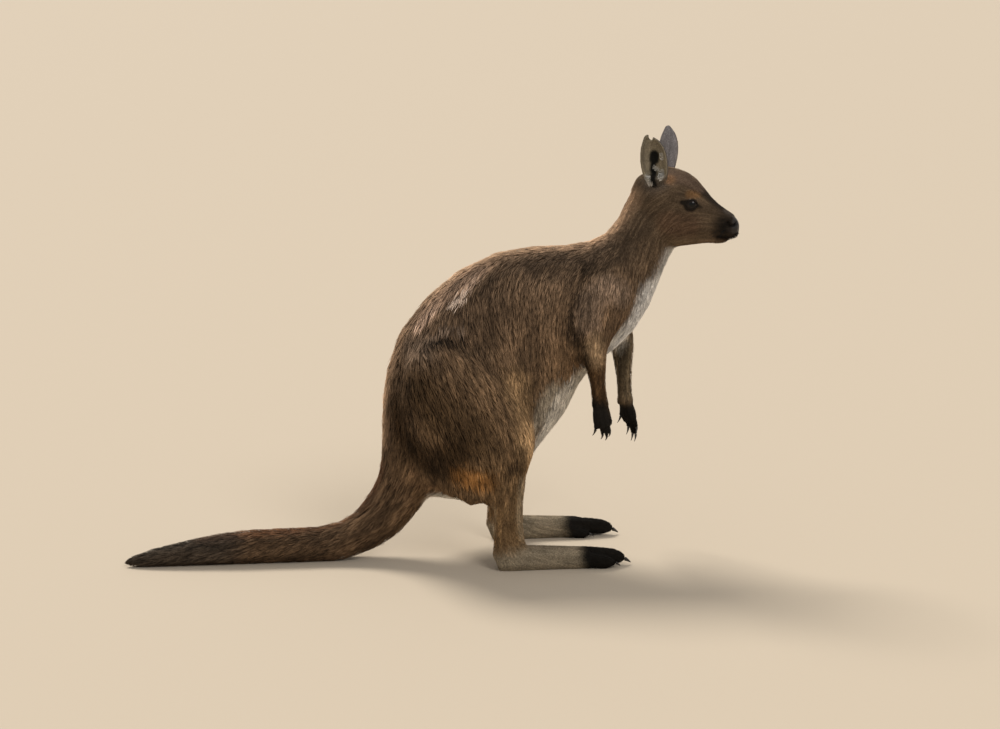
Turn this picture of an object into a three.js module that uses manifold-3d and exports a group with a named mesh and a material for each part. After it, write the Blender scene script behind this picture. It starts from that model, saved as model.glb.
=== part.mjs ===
// A life-size western grey kangaroo, crouched on its hind feet and tail and looking a little to its right.
// Millimetres, +Z up, +X the way the body faces, +Y to the animal's left.
// The outer faces are the tips of the coat.
import * as THREE from "three";
import { mergeVertices } from "three/addons/utils/BufferGeometryUtils.js";
import Module from "manifold-3d";

const wasm = await Module();
wasm.setup();

// ---------------------------------------------------------------- driving sizes
const GAP = 0.35; // clear space between two pieces that meet
const SOLE_DEPTH = 3; // how far the sole and tail are pressed flat
const HEAD_PIVOT = new THREE.Vector3(330, 0, 0); // where the head turns on the neck
const HEAD_TURN = -24; // degrees, towards the animal's right
const EYE_RADIUS = 14.5;
const EYE_PLACE = [94, 35.5, 781]; // in the head's own frame, y for the left eye
const RIGHT = -1;
const LEFT = 1;

const COAT = { colour: 0x6b5140, roughness: 0.9 };
const DARK_COAT = { colour: 0x33261f, roughness: 0.9 };
const PALE_COAT = { colour: 0x8a7460, roughness: 0.9 };
const HORN = { colour: 0x17130f, roughness: 0.4 };
const EYE = { colour: 0x120b07, roughness: 0.08 };

// ---------------------------------------------------------------- building tools
const vector = (x, y, z) => new THREE.Vector3(x, y, z);
const degrees = THREE.MathUtils.degToRad;
const UP = vector(0, 0, 1);
const power = (value, exponent) => Math.sign(value) * Math.abs(value) ** exponent;

// A station cuts the body across. deep reaches from its centre to the back, wide to one side.
// pear widens the belly side, edge over 2 squares the outline, and lean fattens the side wide points to.
const station = (centre, deep, wide, { pear = 0, edge = 2, lean = 0 } = {}) => ({
  centre,
  deep,
  wide,
  form: vector(pear, edge, lean),
});

// A station from the two ends of its depth, each [x, z], and its half width.
function across([backX, backZ], [bellyX, bellyZ], half, { y = 0, turn = 0, ...form } = {}) {
  const centre = vector((backX + bellyX) / 2, y, (backZ + bellyZ) / 2);
  const deep = vector((backX - bellyX) / 2, 0, (backZ - bellyZ) / 2).applyAxisAngle(UP, degrees(turn));
  const wide = vector(0, half, 0).applyAxisAngle(UP, degrees(turn));
  return station(centre, deep, wide, form);
}

// Stations square to a line of points, each [x, y, z, half depth, half width].
// side is what wide leans towards.
function along(points, side = vector(0, 1, 0), form = {}) {
  const places = points.map(([x, y, z]) => vector(x, y, z));
  return points.map(([, , , depth, width], i) => {
    const before = places[Math.max(i - 1, 0)];
    const after = places[Math.min(i + 1, places.length - 1)];
    const course = after.clone().sub(before).normalize();
    const wide = side.clone().addScaledVector(course, -side.dot(course)).normalize();
    const deep = course.clone().cross(wide).normalize();
    return station(places[i], deep.multiplyScalar(depth), wide.multiplyScalar(width), form);
  });
}

// A closed three.js geometry as a solid, turned the right way out.
function solid(geometry) {
  const bare = new THREE.BufferGeometry().setAttribute("position", geometry.getAttribute("position"));
  bare.setIndex(geometry.index);
  const merged = mergeVertices(bare, 1e-3);
  const vertProperties = merged.attributes.position.array;
  const corners = Array.from(merged.index.array);
  const faces = [];
  for (let i = 0; i < corners.length; i += 3) {
    const [a, b, c] = corners.slice(i, i + 3);
    if (a !== b && b !== c && c !== a) faces.push([a, b, c]);
  }
  const make = (list) =>
    new wasm.Manifold(new wasm.Mesh({ numProp: 3, vertProperties, triVerts: new Uint32Array(list.flat()) }));
  const made = make(faces);
  return made.volume() > 0 ? made : make(faces.map(([a, b, c]) => [a, c, b]));
}

// One solid through a row of stations: a cylinder's wall, bent and swelled ring by ring.
// grow fattens it all over, and fineness is the number of rings to each station.
function sweep(stations, sides, grow = 0, fineness = 1) {
  const line = (key) => new THREE.CatmullRomCurve3(stations.map((s) => s[key]), false, "catmullrom", 0.5);
  const [centres, deeps, wides, forms] = ["centre", "deep", "wide", "form"].map(line);
  const geometry = new THREE.CylinderGeometry(1, 1, 1, sides, (stations.length - 1) * fineness);
  const places = geometry.getAttribute("position");
  const course = centres.getPoint(1).sub(centres.getPoint(0.98)).normalize();
  const start = centres.getPoint(0).sub(centres.getPoint(0.02)).normalize();
  for (let i = 0; i < places.count; i++) {
    const reach = Math.hypot(places.getX(i), places.getZ(i)) > 0.5 ? 1 : 0;
    const angle = Math.atan2(places.getX(i), places.getZ(i));
    const t = THREE.MathUtils.clamp(places.getY(i) + 0.5, 0, 1);
    const deep = deeps.getPoint(t);
    const wide = wides.getPoint(t);
    const { x: pear, y: edge, z: lean } = forms.getPoint(t);
    const [up, out] = [Math.cos(angle), Math.sin(angle)];
    const depth = power(up, 2 / edge) * (1 + grow / deep.length());
    const fullness = (1 - pear * up) * (1 + lean * Math.sign(out)) + grow / wide.length();
    const width = power(out, 2 / edge) * fullness;
    const place = centres.getPoint(t).addScaledVector(deep, depth * reach);
    place.addScaledVector(wide, width * reach);
    if (t === 0) place.addScaledVector(start, grow);
    if (t === 1) place.addScaledVector(course, grow);
    places.setXYZ(i, place.x, place.y, place.z);
  }
  return solid(geometry);
}

const joined = (...solids) => solids.reduce((sum, next) => sum.add(next));
const cut = (whole, ...tools) => tools.reduce((rest, tool) => rest.subtract(tool), whole);

// Keeps what lies ahead of a plane through [x, y, z], less half the gap. ahead is the way that is kept.
function ahead(whole, [x, y, z], direction) {
  const normal = vector(...direction).normalize();
  return whole.trimByPlane(normal.toArray(), normal.dot(vector(x, y, z)) + GAP / 2);
}
const behind = (whole, place, direction) => ahead(whole, place, direction.map((n) => -n));
const onFloor = (whole) => whole.trimByPlane([0, 0, 1], 0);

const group = new THREE.Group();
function addPiece(name, shape, { colour, roughness }) {
  const { vertProperties, triVerts } = shape.getMesh();
  const geometry = new THREE.BufferGeometry()
    .setAttribute("position", new THREE.BufferAttribute(new Float32Array(vertProperties), 3))
    .setIndex(new THREE.BufferAttribute(triVerts, 1));
  const material = new THREE.MeshStandardMaterial({ color: colour, roughness, metalness: 0 });
  const mesh = new THREE.Mesh(geometry, material);
  mesh.name = name;
  group.add(mesh);
}

// ---------------------------------------------------------------- trunk, neck and tail
// One sweep up the spine.
const SPINE = [
  across([-822, 17], [-821, 3], 6), // tail tip
  across([-806, 25], [-803, -1], 13),
  across([-768, 38], [-764, -SOLE_DEPTH], 20),
  across([-704, 55], [-700, -SOLE_DEPTH], 27),
  across([-630, 69], [-626, -SOLE_DEPTH], 32),
  across([-550, 77], [-546, -SOLE_DEPTH], 35),
  across([-470, 78], [-464, -SOLE_DEPTH], 37),
  across([-402, 79], [-384, -SOLE_DEPTH], 39),
  across([-354, 87], [-322, 4], 41),
  across([-318, 110], [-268, 24], 45),
  across([-291, 146], [-220, 56], 50),
  across([-273, 184], [-184, 98], 57),
  across([-264, 226], [-154, 138], 66, { pear: 0.05 }), // tail root
  across([-263, 290], [-98, 128], 87, { pear: 0.05, edge: 2.2 }),
  across([-260, 360], [-40, 122], 102, { pear: 0.04, edge: 2.4 }),
  across([-250, 426], [24, 160], 112, { pear: 0.04, edge: 2.5 }),
  across([-222, 508], [72, 224], 119, { pear: 0.06, edge: 2.4 }), // loins
  across([-166, 581], [110, 276], 123, { pear: 0.1, edge: 2.2 }),
  across([-90, 641], [146, 323], 122, { pear: 0.12, edge: 2.1 }), // last ribs
  across([-10, 678], [174, 380], 117, { pear: 0.1 }),
  across([70, 690], [210, 428], 109, { pear: 0.06 }),
  across([138, 690], [253, 458], 98, { pear: 0.02 }), // shoulders
  across([192, 697], [296, 498], 84),
  across([230, 714], [329, 552], 68, { y: -1, turn: -3 }), // root of the neck
  across([255, 745], [351, 610], 58, { y: -3, turn: -8 }),
  across([269, 782], [369, 654], 52, { y: -5, turn: -14 }),
  across([290, 806], [386, 692], 46, { y: -8, turn: -20 }), // inside the head
];
const SPINE_SIDES = 18;

// ---------------------------------------------------------------- head
// In its own frame, with x from the ears to the nose.
const HEAD = [
  across([-46, 806], [-22, 706], 38),
  across([-32, 833], [-6, 688], 47),
  across([2, 853], [18, 672], 52, { pear: 0.04 }),
  across([29, 858], [36, 674], 54, { pear: 0.1 }),
  across([56, 853], [57, 682], 55, { pear: 0.14 }), // cheeks
  across([77, 846], [76, 689], 53.5, { pear: 0.14 }),
  across([97, 833], [97, 693], 48, { pear: 0.1 }), // brow
  across([114, 813], [116, 697], 40.5, { pear: 0.06 }),
  across([130, 794], [131, 699], 34, { pear: 0.02 }),
  across([146, 780], [147, 701], 29, { pear: 0.02, edge: 2.1 }),
  across([163, 768.5], [163, 703], 26, { pear: 0.06, edge: 2.2 }),
  across([178, 759], [177, 705], 23.5, { pear: 0.06, edge: 2.3 }),
  across([188, 749], [187, 709], 18.5, { pear: 0.02, edge: 2.3 }),
  across([193, 739], [192, 717], 10, { edge: 2.2 }), // nose
];
const JAW = [
  across([58, 716], [60, 684], 38),
  across([80, 716], [80, 687.5], 34, { edge: 2.2 }),
  across([104, 716], [105, 691.5], 28, { edge: 2.2 }),
  across([126, 715], [128, 694.5], 23, { edge: 2.2 }),
  across([148, 714], [149, 694], 18.5, { edge: 2.2 }),
  across([162, 712], [163, 697], 14),
  across([169, 708], [170, 702], 7), // chin
];
const HEAD_SIDES = 20;
const headFrame = new THREE.Matrix4()
  .makeTranslation(HEAD_PIVOT)
  .multiply(new THREE.Matrix4().makeRotationZ(degrees(HEAD_TURN)));

// Stations of the head's own frame, turned with the head.
const withHead = (stations) =>
  stations.map((s) => ({
    centre: s.centre.clone().applyMatrix4(headFrame),
    deep: s.deep.clone().transformDirection(headFrame).multiplyScalar(s.deep.length()),
    wide: s.wide.clone().transformDirection(headFrame).multiplyScalar(s.wide.length()),
    form: s.form,
  }));

const eyeBall = (side, grow = 0) => {
  const [x, y, z] = EYE_PLACE;
  const ball = new THREE.SphereGeometry(EYE_RADIUS + grow, 10, 7);
  return solid(ball.translate(x, side * y, z).applyMatrix4(headFrame));
};

// ---------------------------------------------------------------- ears
// A leaf-shaped cup open to the side and front. Each ear's line from root to tip in the head's frame,
// y for the left ear: [x, y, z, half width of the leaf].
const EAR_LINES = {
  [RIGHT]: [
    [19, 34, 820, 17.5],
    [18, 42, 838, 26],
    [15.5, 49, 862, 30],
    [13.5, 55, 888, 29],
    [8, 60, 909, 21.5],
    [0, 62, 928, 5],
  ],
  [LEFT]: [
    [22, 34, 822, 15],
    [21, 41, 842, 21],
    [22, 48, 868, 25],
    [23, 53, 894, 25],
    [22, 57, 918, 18.5],
    [19, 60, 938, 5],
  ],
};
const EAR_DEPTH = 0.62; // half depth of the leaf against its half width
const EAR_WALL = 3.2; // at the two edges
const CUP_DEPTH = 0.74; // half depth of the hollow against the leaf's half width
const CUP_OFFSET = 0.42; // how far the hollow sits towards the open side, in half widths
const CUP_SHORT = 6; // how far the hollow ends below the tip
const EAR_FACING = { [RIGHT]: 8, [LEFT]: 24 }; // degrees that the cup is turned forward from straight out
const NICK = { radius: 7, height: 17, place: [9, 60, 919] }; // a notch torn in the right ear's tip

function earSolid(side) {
  const turn = degrees(EAR_FACING[side]);
  const forward = vector(Math.cos(turn), -side * Math.sin(turn), 0); // along the leaf's width
  const outward = vector(Math.sin(turn), side * Math.cos(turn), 0); // out of the cup
  const line = EAR_LINES[side].map(([x, y, z, half]) => [x, side * y, z, half * EAR_DEPTH, half]);
  const leaf = sweep(withHead(along(line, forward)), 10, 0, 2);
  const hollowLine = line.slice(1).map(([x, y, z, , half], i, all) => {
    const out = half * CUP_OFFSET;
    const short = i === all.length - 1 ? CUP_SHORT : 0;
    const width = Math.max(half - EAR_WALL, 2);
    return [x + outward.x * out, y + outward.y * out, z - short, half * CUP_DEPTH, width];
  });
  const hollow = sweep(withHead(along(hollowLine, forward)), 8, 0, 2);
  const cup = leaf.subtract(hollow);
  if (side === LEFT) return cup;
  const [x, y, z] = NICK.place;
  const wedge = new THREE.ConeGeometry(NICK.radius, NICK.height, 6).rotateX(-Math.PI / 2).scale(1, 4, 1);
  return cup.subtract(solid(wedge.translate(x, side * y, z).applyMatrix4(headFrame)));
}

// ---------------------------------------------------------------- hind legs
const LEAN = 0.42; // the thigh's outer side is fuller than its inner side
const THIGH = [
  across([-170, 512], [-216, 450], 38, { y: 68, lean: LEAN }),
  across([-126, 520], [-232, 358], 57, { y: 68, lean: LEAN }),
  across([-64, 500], [-222, 264], 65, { y: 68, lean: LEAN }),
  across([-2, 456], [-182, 186], 66, { y: 69, lean: LEAN }),
  across([40, 396], [-116, 148], 62, { y: 77, lean: LEAN }),
  across([64, 334], [-60, 146], 53, { y: 90, lean: 0.28 }),
  across([66, 276], [-42, 136], 42, { y: 104, lean: 0.14 }), // knee
  across([54, 230], [-24, 132], 32, { y: 112, lean: 0.08 }),
];
// The loose fold that hangs behind the knee: rows of [x, y, z, half depth, half width].
const KNEE_FOLD = [
  [-101, 118, 182, 6, 12],
  [-91, 119, 172, 19, 27],
  [-75, 120, 166, 24, 33],
  [-59, 121, 169, 20, 28],
  [-48, 121, 178, 7, 12],
];
const LEG_FORWARD = { [RIGHT]: 0, [LEFT]: 13 }; // the left foot stands a little ahead
// Shank from the knee to the ankle: [x, y, z, half depth, half width], x growing forwards.
const SHANK = [
  [14, 108, 272, 28, 24],
  [14, 113, 240, 37, 31],
  [6, 116, 190, 36, 31],
  [4, 116, 145, 33, 28],
  [4, 116, 95, 33, 26],
  [6, 116, 58, 36, 26],
  [6, 116, 26, 36, 24],
];
// Foot from the heel to the root of the toes.
const FOOT = [
  [-25, 116, 22, 19, 14],
  [-18, 116, 24.5, 27, 20],
  [8, 116, 25.5, 29, 24],
  [50, 116, 25, 28, 23.5],
  [100, 116, 23.5, 26.5, 22.5],
  [150, 117, 22, 25, 24],
  [180, 118, 21, 24, 23],
];
// Toes: the great fourth, the outer fifth and the joined second and third.
// Each is a line of [x, y, z, half depth, half width].
const TOES = {
  fourth: [
    [166, 113, 24, 23, 16],
    [200, 113, 22.5, 21, 15],
    [232, 113, 20, 19, 13.5],
    [250, 113, 17, 14, 11],
    [259, 113, 14, 7, 6],
  ],
  fifth: [
    [160, 130, 20, 17, 13],
    [190, 135, 18, 17, 11],
    [215, 136, 15, 15, 9.5],
    [228, 136, 13, 11, 7],
    [236, 136, 12, 5, 4],
  ],
  inner: [
    [150, 98, 18, 16, 10],
    [175, 94, 13, 12, 8.5],
    [192, 92, 10.5, 10, 7.5],
    [203, 92, 10, 5, 5],
  ],
};
const groomingClaw = (y) => [
  [202, y, 10.5, 2.6, 2],
  [207, y, 8.5, 2.1, 1.7],
  [210.5, y, 6.2, 1.3, 1.1],
  [212.5, y, 4.4, 0.6, 0.6],
];
const TOE_CLAWS = {
  fourth: [
    [258, 113, 14, 5.2, 4.4],
    [265, 113, 10.5, 4, 3.4],
    [270, 113, 7, 2.4, 2],
    [273, 113, 4.6, 0.9, 0.8],
  ],
  fifth: [
    [235.5, 136, 12, 3.6, 3],
    [240.5, 136.5, 9.5, 2.8, 2.2],
    [244, 137, 7, 1.7, 1.4],
    [246, 137, 5, 0.7, 0.6],
  ],
  second: groomingClaw(88.2),
  third: groomingClaw(95.5),
};

// ---------------------------------------------------------------- arms
// Each arm's joints [x, y, z], y for the left arm, degrees that the palm is turned back from facing
// in, the palm's breadth, how much lower the thumb's side of the hand hangs, and degrees that the
// fingers lean forward.
const ARMS = {
  [RIGHT]: {
    shoulder: [232, 60, 606],
    elbow: [191, 92, 472],
    wrist: [205, 94, 358],
    knuckles: [211, 94, 315],
    palm: 38,
    breadth: 1,
    slope: 8,
    lean: 18,
  },
  [LEFT]: {
    shoulder: [244, 60, 600],
    elbow: [284, 88, 462],
    wrist: [293, 86, 322],
    knuckles: [303, 86, 281],
    palm: 58,
    breadth: 0.84,
    slope: 34,
    lean: 5,
  },
};
// Rows of [share of the way down the bone, half depth, half width].
const UPPER_ARM = [
  [-0.44, 16, 10],
  [-0.28, 44, 27],
  [0, 60, 42],
  [0.3, 54, 40],
  [0.6, 42, 34],
  [0.85, 33, 28],
  [1, 30, 26],
  [1.14, 18, 15],
];
const FOREARM = [
  [-0.06, 29, 25],
  [0.12, 28, 24],
  [0.33, 23.5, 21],
  [0.62, 18.5, 16.5],
  [0.88, 18, 15.5],
  [1.06, 18.5, 14.5],
];
const PALM_RADII = [22, 13];
// Rows of [distance down the hand, swell of the palm there].
const PALM = [
  [-6, 0.82],
  [8, 0.95],
  [22, 1.09],
  [34, 1.1],
  [44, 0.9],
];
const PALM_LENGTH = 36; // that the rows are drawn for
const KNUCKLE_SPREAD = 0.9; // of the palm's half width, to the outer fingers
// Fingers from the little finger, at the back, to the thumb: place across the palm in half widths,
// how far above the knuckles they start, length, and degrees that they spread from straight down.
const FINGERS = [
  { across: -0.96, above: 13, length: 27, spread: -20 },
  { across: -0.38, above: 2, length: 31, spread: -3 },
  { across: 0.1, above: -1, length: 34, spread: 1 },
  { across: 0.56, above: 2, length: 31, spread: 5 },
  { across: 0.94, above: 16, length: 22, spread: 11 },
];
const FINGER_RADIUS = 5.4;
const FINGER_TAPER = [1.05, 1, 0.94, 0.8]; // radius down the finger, in finger radii
const FINGER_CURL = 0.16; // how far the fingers bend to the palm's side over their length
const CLAW_LENGTH = 16.5;
const CLAW_RADIUS = 3.7;
const CLAW_HOOK = 2.8; // how much more the claws bend than the fingers

const mix = (a, b, share) => a.map((value, i) => value + (b[i] - value) * share);
const sided = (points, side) => points.map(([x, y, ...rest]) => [x, side * y, ...rest]);

// ---------------------------------------------------------------- the pieces
const spine = (grow = 0) => sweep(SPINE, SPINE_SIDES, grow);
const head = (grow = 0) => sweep(withHead(HEAD), HEAD_SIDES, grow);
const jaw = (grow = 0) => sweep(withHead(JAW), 10, grow);

// Points of the left leg carried to a side, and forward with that foot.
const legLine = (points, side) =>
  sided(points, side).map(([x, ...rest]) => [x + LEG_FORWARD[side], ...rest]);
const thighStations = (side) =>
  THIGH.map(({ centre, deep, wide, form }) => ({
    centre: vector(centre.x + LEG_FORWARD[side] / 2, side * centre.y, centre.z),
    deep,
    wide: wide.clone().multiplyScalar(side),
    form,
  }));
const kneeFold = (side, grow = 0) => sweep(along(legLine(KNEE_FOLD, side)), 8, grow);
const thigh = (side, grow = 0) => joined(sweep(thighStations(side), 16, grow), kneeFold(side, grow));
const shank = (side, grow = 0) => sweep(along(legLine(SHANK, side)), 10, grow);
const footBody = (side, grow = 0) =>
  joined(
    sweep(along(legLine(FOOT, side), undefined, { edge: 2.4 }), 10, grow),
    ...Object.values(TOES).map((line) =>
      sweep(along(legLine(line, side), undefined, { edge: 2.2 }), 7, grow),
    ),
  );

// A length of arm: rows set out along the bone from one joint to the next.
function armLength(side, from, to, rows, sides, grow) {
  const line = rows.map(([share, deep, wide]) => {
    const [x, y, z] = mix(from, to, share);
    return [x, side * y, z, deep, wide];
  });
  return sweep(along(line), sides, grow);
}
const upperArm = (side, grow = 0) =>
  armLength(side, ARMS[side].shoulder, ARMS[side].elbow, UPPER_ARM, 12, grow);
const forearm = (side, grow = 0) => armLength(side, ARMS[side].elbow, ARMS[side].wrist, FOREARM, 10, grow);

// The hand hangs from the wrist. Its width runs along span, and the fingers fan out over it.
function handFrame(side) {
  const { wrist, knuckles, palm, breadth, slope, lean } = ARMS[side];
  const [root, end] = [wrist, knuckles].map(([x, y, z]) => vector(x, side * y, z));
  const down = end.clone().sub(root).normalize();
  const span = vector(Math.cos(degrees(palm)), -side * Math.sin(degrees(palm)), 0);
  span.addScaledVector(down, -span.dot(down)).normalize();
  const inward = vector(-Math.sin(degrees(palm)), -side * Math.cos(degrees(palm)), 0);
  return { root, end, down, span, inward, slope, lean, half: PALM_RADII[0] * breadth };
}

// A finger's line of places from the palm to its tip, and the way it points there.
function fingerLine(side, index) {
  const { end, down, span, inward, slope, lean, half } = handFrame(side);
  const { across: share, above, length, spread } = FINGERS[index];
  const root = end.clone().addScaledVector(span, share * half * KNUCKLE_SPREAD);
  root.addScaledVector(down, (share * slope) / 2 - above);
  const point = down.clone().addScaledVector(span, Math.tan(degrees(spread + lean))).normalize();
  const curl = inward.clone().multiplyScalar(FINGER_CURL);
  const places = [-0.5, 0, 0.5, 1].map((reach) =>
    root.clone().addScaledVector(point, reach * length).addScaledVector(curl, reach ** 2 * length),
  );
  return { places, point: point.clone().addScaledVector(curl, 1.6).normalize(), span, curl };
}

function handBody(side, grow = 0) {
  const { root, end, down, span, half } = handFrame(side);
  const palm = PALM.map(([reach, swell]) => {
    const place = root.clone().addScaledVector(down, reach * (root.distanceTo(end) / PALM_LENGTH));
    return [...place.toArray(), PALM_RADII[1] * swell, half * swell];
  });
  const fingers = FINGERS.map((_, index) => {
    const { places } = fingerLine(side, index);
    const radii = FINGER_TAPER.map((share) => share * FINGER_RADIUS);
    return sweep(along(places.map((p, i) => [...p.toArray(), radii[i], radii[i]]), span), 6, grow);
  });
  return joined(sweep(along(palm, span, { edge: 2.3 }), 8, grow), ...fingers);
}

function fingerClaw(side, index) {
  const { places, point, span, curl } = fingerLine(side, index);
  const tip = places[3];
  const line = [-0.05, 0.3, 0.7, 1].map((reach) => {
    const place = tip.clone().addScaledVector(point, reach * CLAW_LENGTH);
    place.addScaledVector(curl, reach ** 2 * CLAW_LENGTH * CLAW_HOOK);
    const radius = CLAW_RADIUS * Math.max(1 - Math.max(reach, 0) ** 1.3, 0.16);
    return [...place.toArray(), radius * 1.1, radius * 0.85];
  });
  return sweep(along(line, span), 5);
}

const arm = (side, grow = 0) => joined(upperArm(side, grow), forearm(side, grow), handBody(side, grow));

// ---------------------------------------------------------------- assembly
const body = joined(spine(), head(), jaw());
const NECK_TOP = { place: [318, 0, 745], way: [0.74, -0.18, 0.5] };
const NECK_ROOT = { place: [268, 0, 632], way: [0.72, 0, 0.69] };
const TAIL_ROOT = { place: [-205, 0, 183], way: [0.62, 0, 0.78] };
const TAIL_BEND = { place: [-395, 0, 40], way: [1, 0, 0.12] };
const TAIL_END = { place: [-610, 0, 35], way: [1, 0, 0] };
const ANKLE = { place: [48, 0, 55], way: [-0.2, 0, 1] };
const ELBOW_WAY = [-0.15, 0, 1];

const eyes = [RIGHT, LEFT].map((side) => eyeBall(side, GAP));
const thighs = [RIGHT, LEFT].map((side) => thigh(side, GAP));
const arms = [RIGHT, LEFT].map((side) => arm(side, GAP));

addPiece("head", cut(ahead(body, NECK_TOP.place, NECK_TOP.way), ...eyes), COAT);
const belowHead = behind(body, NECK_TOP.place, NECK_TOP.way);
addPiece("neck", cut(ahead(belowHead, NECK_ROOT.place, NECK_ROOT.way), ...arms), COAT);
const belowNeck = behind(body, NECK_ROOT.place, NECK_ROOT.way);
addPiece("trunk", cut(ahead(belowNeck, TAIL_ROOT.place, TAIL_ROOT.way), ...thighs, ...arms), COAT);
const tail = onFloor(cut(behind(body, TAIL_ROOT.place, TAIL_ROOT.way), ...thighs));
addPiece("tail_root", ahead(tail, TAIL_BEND.place, TAIL_BEND.way), COAT);
const pastBend = behind(tail, TAIL_BEND.place, TAIL_BEND.way);
addPiece("tail_middle", ahead(pastBend, TAIL_END.place, TAIL_END.way), COAT);
addPiece("tail_tip", behind(tail, TAIL_END.place, TAIL_END.way), DARK_COAT);

for (const side of [RIGHT, LEFT]) {
  const name = side === RIGHT ? "right" : "left";
  addPiece(`eye_${name}`, eyeBall(side), EYE);
  addPiece(`ear_${name}`, cut(earSolid(side), body.add(head(GAP))), COAT);

  addPiece(`thigh_${name}`, thigh(side), COAT);
  const lowerLeg = joined(shank(side), footBody(side));
  addPiece(`shank_${name}`, cut(ahead(lowerLeg, ANKLE.place, ANKLE.way), thigh(side, GAP)), PALE_COAT);
  const foot = onFloor(behind(lowerLeg, ANKLE.place, ANKLE.way));
  addPiece(`foot_${name}`, foot, PALE_COAT);
  for (const [toe, line] of Object.entries(TOE_CLAWS)) {
    const claw = sweep(along(legLine(line, side)), 5);
    addPiece(`toe_claw_${toe}_${name}`, cut(claw, footBody(side, GAP)), HORN);
  }

  const limb = arm(side);
  const [elbow, wrist] = [ARMS[side].elbow, ARMS[side].wrist].map(([x, y, z]) => [x, side * y, z]);
  addPiece(`upper_arm_${name}`, ahead(limb, elbow, ELBOW_WAY), COAT);
  addPiece(`forearm_${name}`, ahead(behind(limb, elbow, ELBOW_WAY), wrist, UP.toArray()), COAT);
  addPiece(`hand_${name}`, behind(limb, wrist, UP.toArray()), DARK_COAT);
  for (let index = 0; index < FINGERS.length; index++) {
    addPiece(`finger_claw_${index + 1}_${name}`, cut(fingerClaw(side, index), handBody(side, GAP)), HORN);
  }
}

// The origin is on the floor, below the middle of the whole figure.
const box = new THREE.Box3().setFromObject(group);
const middle = box.getCenter(vector());
group.position.set(-middle.x, -middle.y, -box.min.z);

export default group;
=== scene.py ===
# %% [markdown]
# # A life-size western grey kangaroo
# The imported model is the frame. It gives each bone-and-flesh part as a solid whose outer face stands for
# the tips of the coat. This lesson grows the animal around that frame: one skin, a coat of many locks,
# wet eyes and horn claws. Every object is in metres and in the frame's own place.

# %% Load the frame
import math

import bmesh
import bpy
import numpy as np
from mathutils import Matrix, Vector
from mathutils.bvhtree import BVHTree
from mathutils.kdtree import KDTree


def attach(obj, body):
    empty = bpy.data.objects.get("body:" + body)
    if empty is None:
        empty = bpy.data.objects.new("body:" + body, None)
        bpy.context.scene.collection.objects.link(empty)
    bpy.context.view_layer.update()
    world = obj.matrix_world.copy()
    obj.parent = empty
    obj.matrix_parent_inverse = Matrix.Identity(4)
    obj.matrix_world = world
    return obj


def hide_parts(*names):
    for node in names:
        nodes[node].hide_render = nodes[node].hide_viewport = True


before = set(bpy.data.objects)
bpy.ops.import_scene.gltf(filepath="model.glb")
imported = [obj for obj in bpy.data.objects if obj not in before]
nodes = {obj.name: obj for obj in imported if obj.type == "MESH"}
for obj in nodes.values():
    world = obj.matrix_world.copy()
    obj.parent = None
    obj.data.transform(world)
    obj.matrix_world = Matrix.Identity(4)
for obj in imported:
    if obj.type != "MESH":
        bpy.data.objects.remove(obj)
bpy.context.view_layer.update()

scene = bpy.context.scene
chance = np.random.default_rng(11)

# %% [markdown]
# ## Camera, floor and light
# The camera stands 4.3 m to the animal's right and 1.35 m up, and looks down 12 degrees through a long
# lens.
# The light is that of a bright museum hall. A broad warm skylight stands behind and above the back, so
# the coat's upper edge glows, and a weaker one lights the side that faces us. Both are sun lamps with a
# wide angle: they light the floor evenly and keep the shadows soft. The floor is a plain pale plane.

# %% Camera
camera_data = bpy.data.cameras.new("camera")
camera_data.lens = 73.44
camera_data.sensor_width = 36
camera_data.clip_end = 200
camera = bpy.data.objects.new("camera", camera_data)
camera.location = (-0.3725, -4.3047, 1.35)
camera.rotation_euler = (math.radians(78), 0, math.radians(-7))
scene.collection.objects.link(camera)
scene.camera = camera
scene.view_settings.view_transform = "Standard"

# %% Floor
FLOOR_REACH = 60
floor_mesh = bpy.data.meshes.new("floor")
floor_shape = bmesh.new()
bmesh.ops.create_grid(floor_shape, x_segments=1, y_segments=1, size=FLOOR_REACH)
floor_shape.to_mesh(floor_mesh)
floor_shape.free()
floor = bpy.data.objects.new("floor", floor_mesh)
scene.collection.objects.link(floor)
floor_paint = bpy.data.materials.new("floor_paint")
floor_paint.use_nodes = True
floor_paint.node_tree.nodes["Principled BSDF"].inputs["Base Color"].default_value = (0.50, 0.43, 0.345, 1)
floor_paint.node_tree.nodes["Principled BSDF"].inputs["Roughness"].default_value = 0.95
floor_mesh.materials.append(floor_paint)


# %% Lamps
def add_skylight(name, toward, spread, strength, colour):
    """A far lamp that lies in the direction toward, as wide in the sky as spread degrees."""
    data = bpy.data.lights.new(name, "SUN")
    data.angle = math.radians(spread)
    data.energy = strength
    data.color = colour
    lamp = bpy.data.objects.new(name, data)
    lamp.rotation_euler = Vector(toward).to_track_quat("Z", "Y").to_euler()
    scene.collection.objects.link(lamp)


add_skylight("skylight_back", (-0.5, 0.8, 1.3), 22, 2.9, (1.0, 0.94, 0.84))
add_skylight("skylight_front", (0.5, -1.0, 1.0), 24, 0.95, (1.0, 0.97, 0.93))
world = bpy.data.worlds.new("hall")
world.use_nodes = True
world.node_tree.nodes["Background"].inputs["Color"].default_value = (1.0, 0.97, 0.92, 1)
world.node_tree.nodes["Background"].inputs["Strength"].default_value = 0.5
scene.world = world

# %% [markdown]
# ## The skin
# A real skin has no seams, so the flesh parts are fattened until they touch, melted into one surface with
# a voxel remesh and relaxed where the body is soft. Then the skin sinks under the frame's faces by the
# depth of the coat, which is deep on the back and thigh and almost nothing on the ears, hands and feet.
# Last, it is pressed into folds where the thigh and the arm meet the flank.

# %% Small maths helpers
def unit(v):
    return v / np.maximum(np.linalg.norm(v, axis=-1, keepdims=True), 1e-9)


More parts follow.
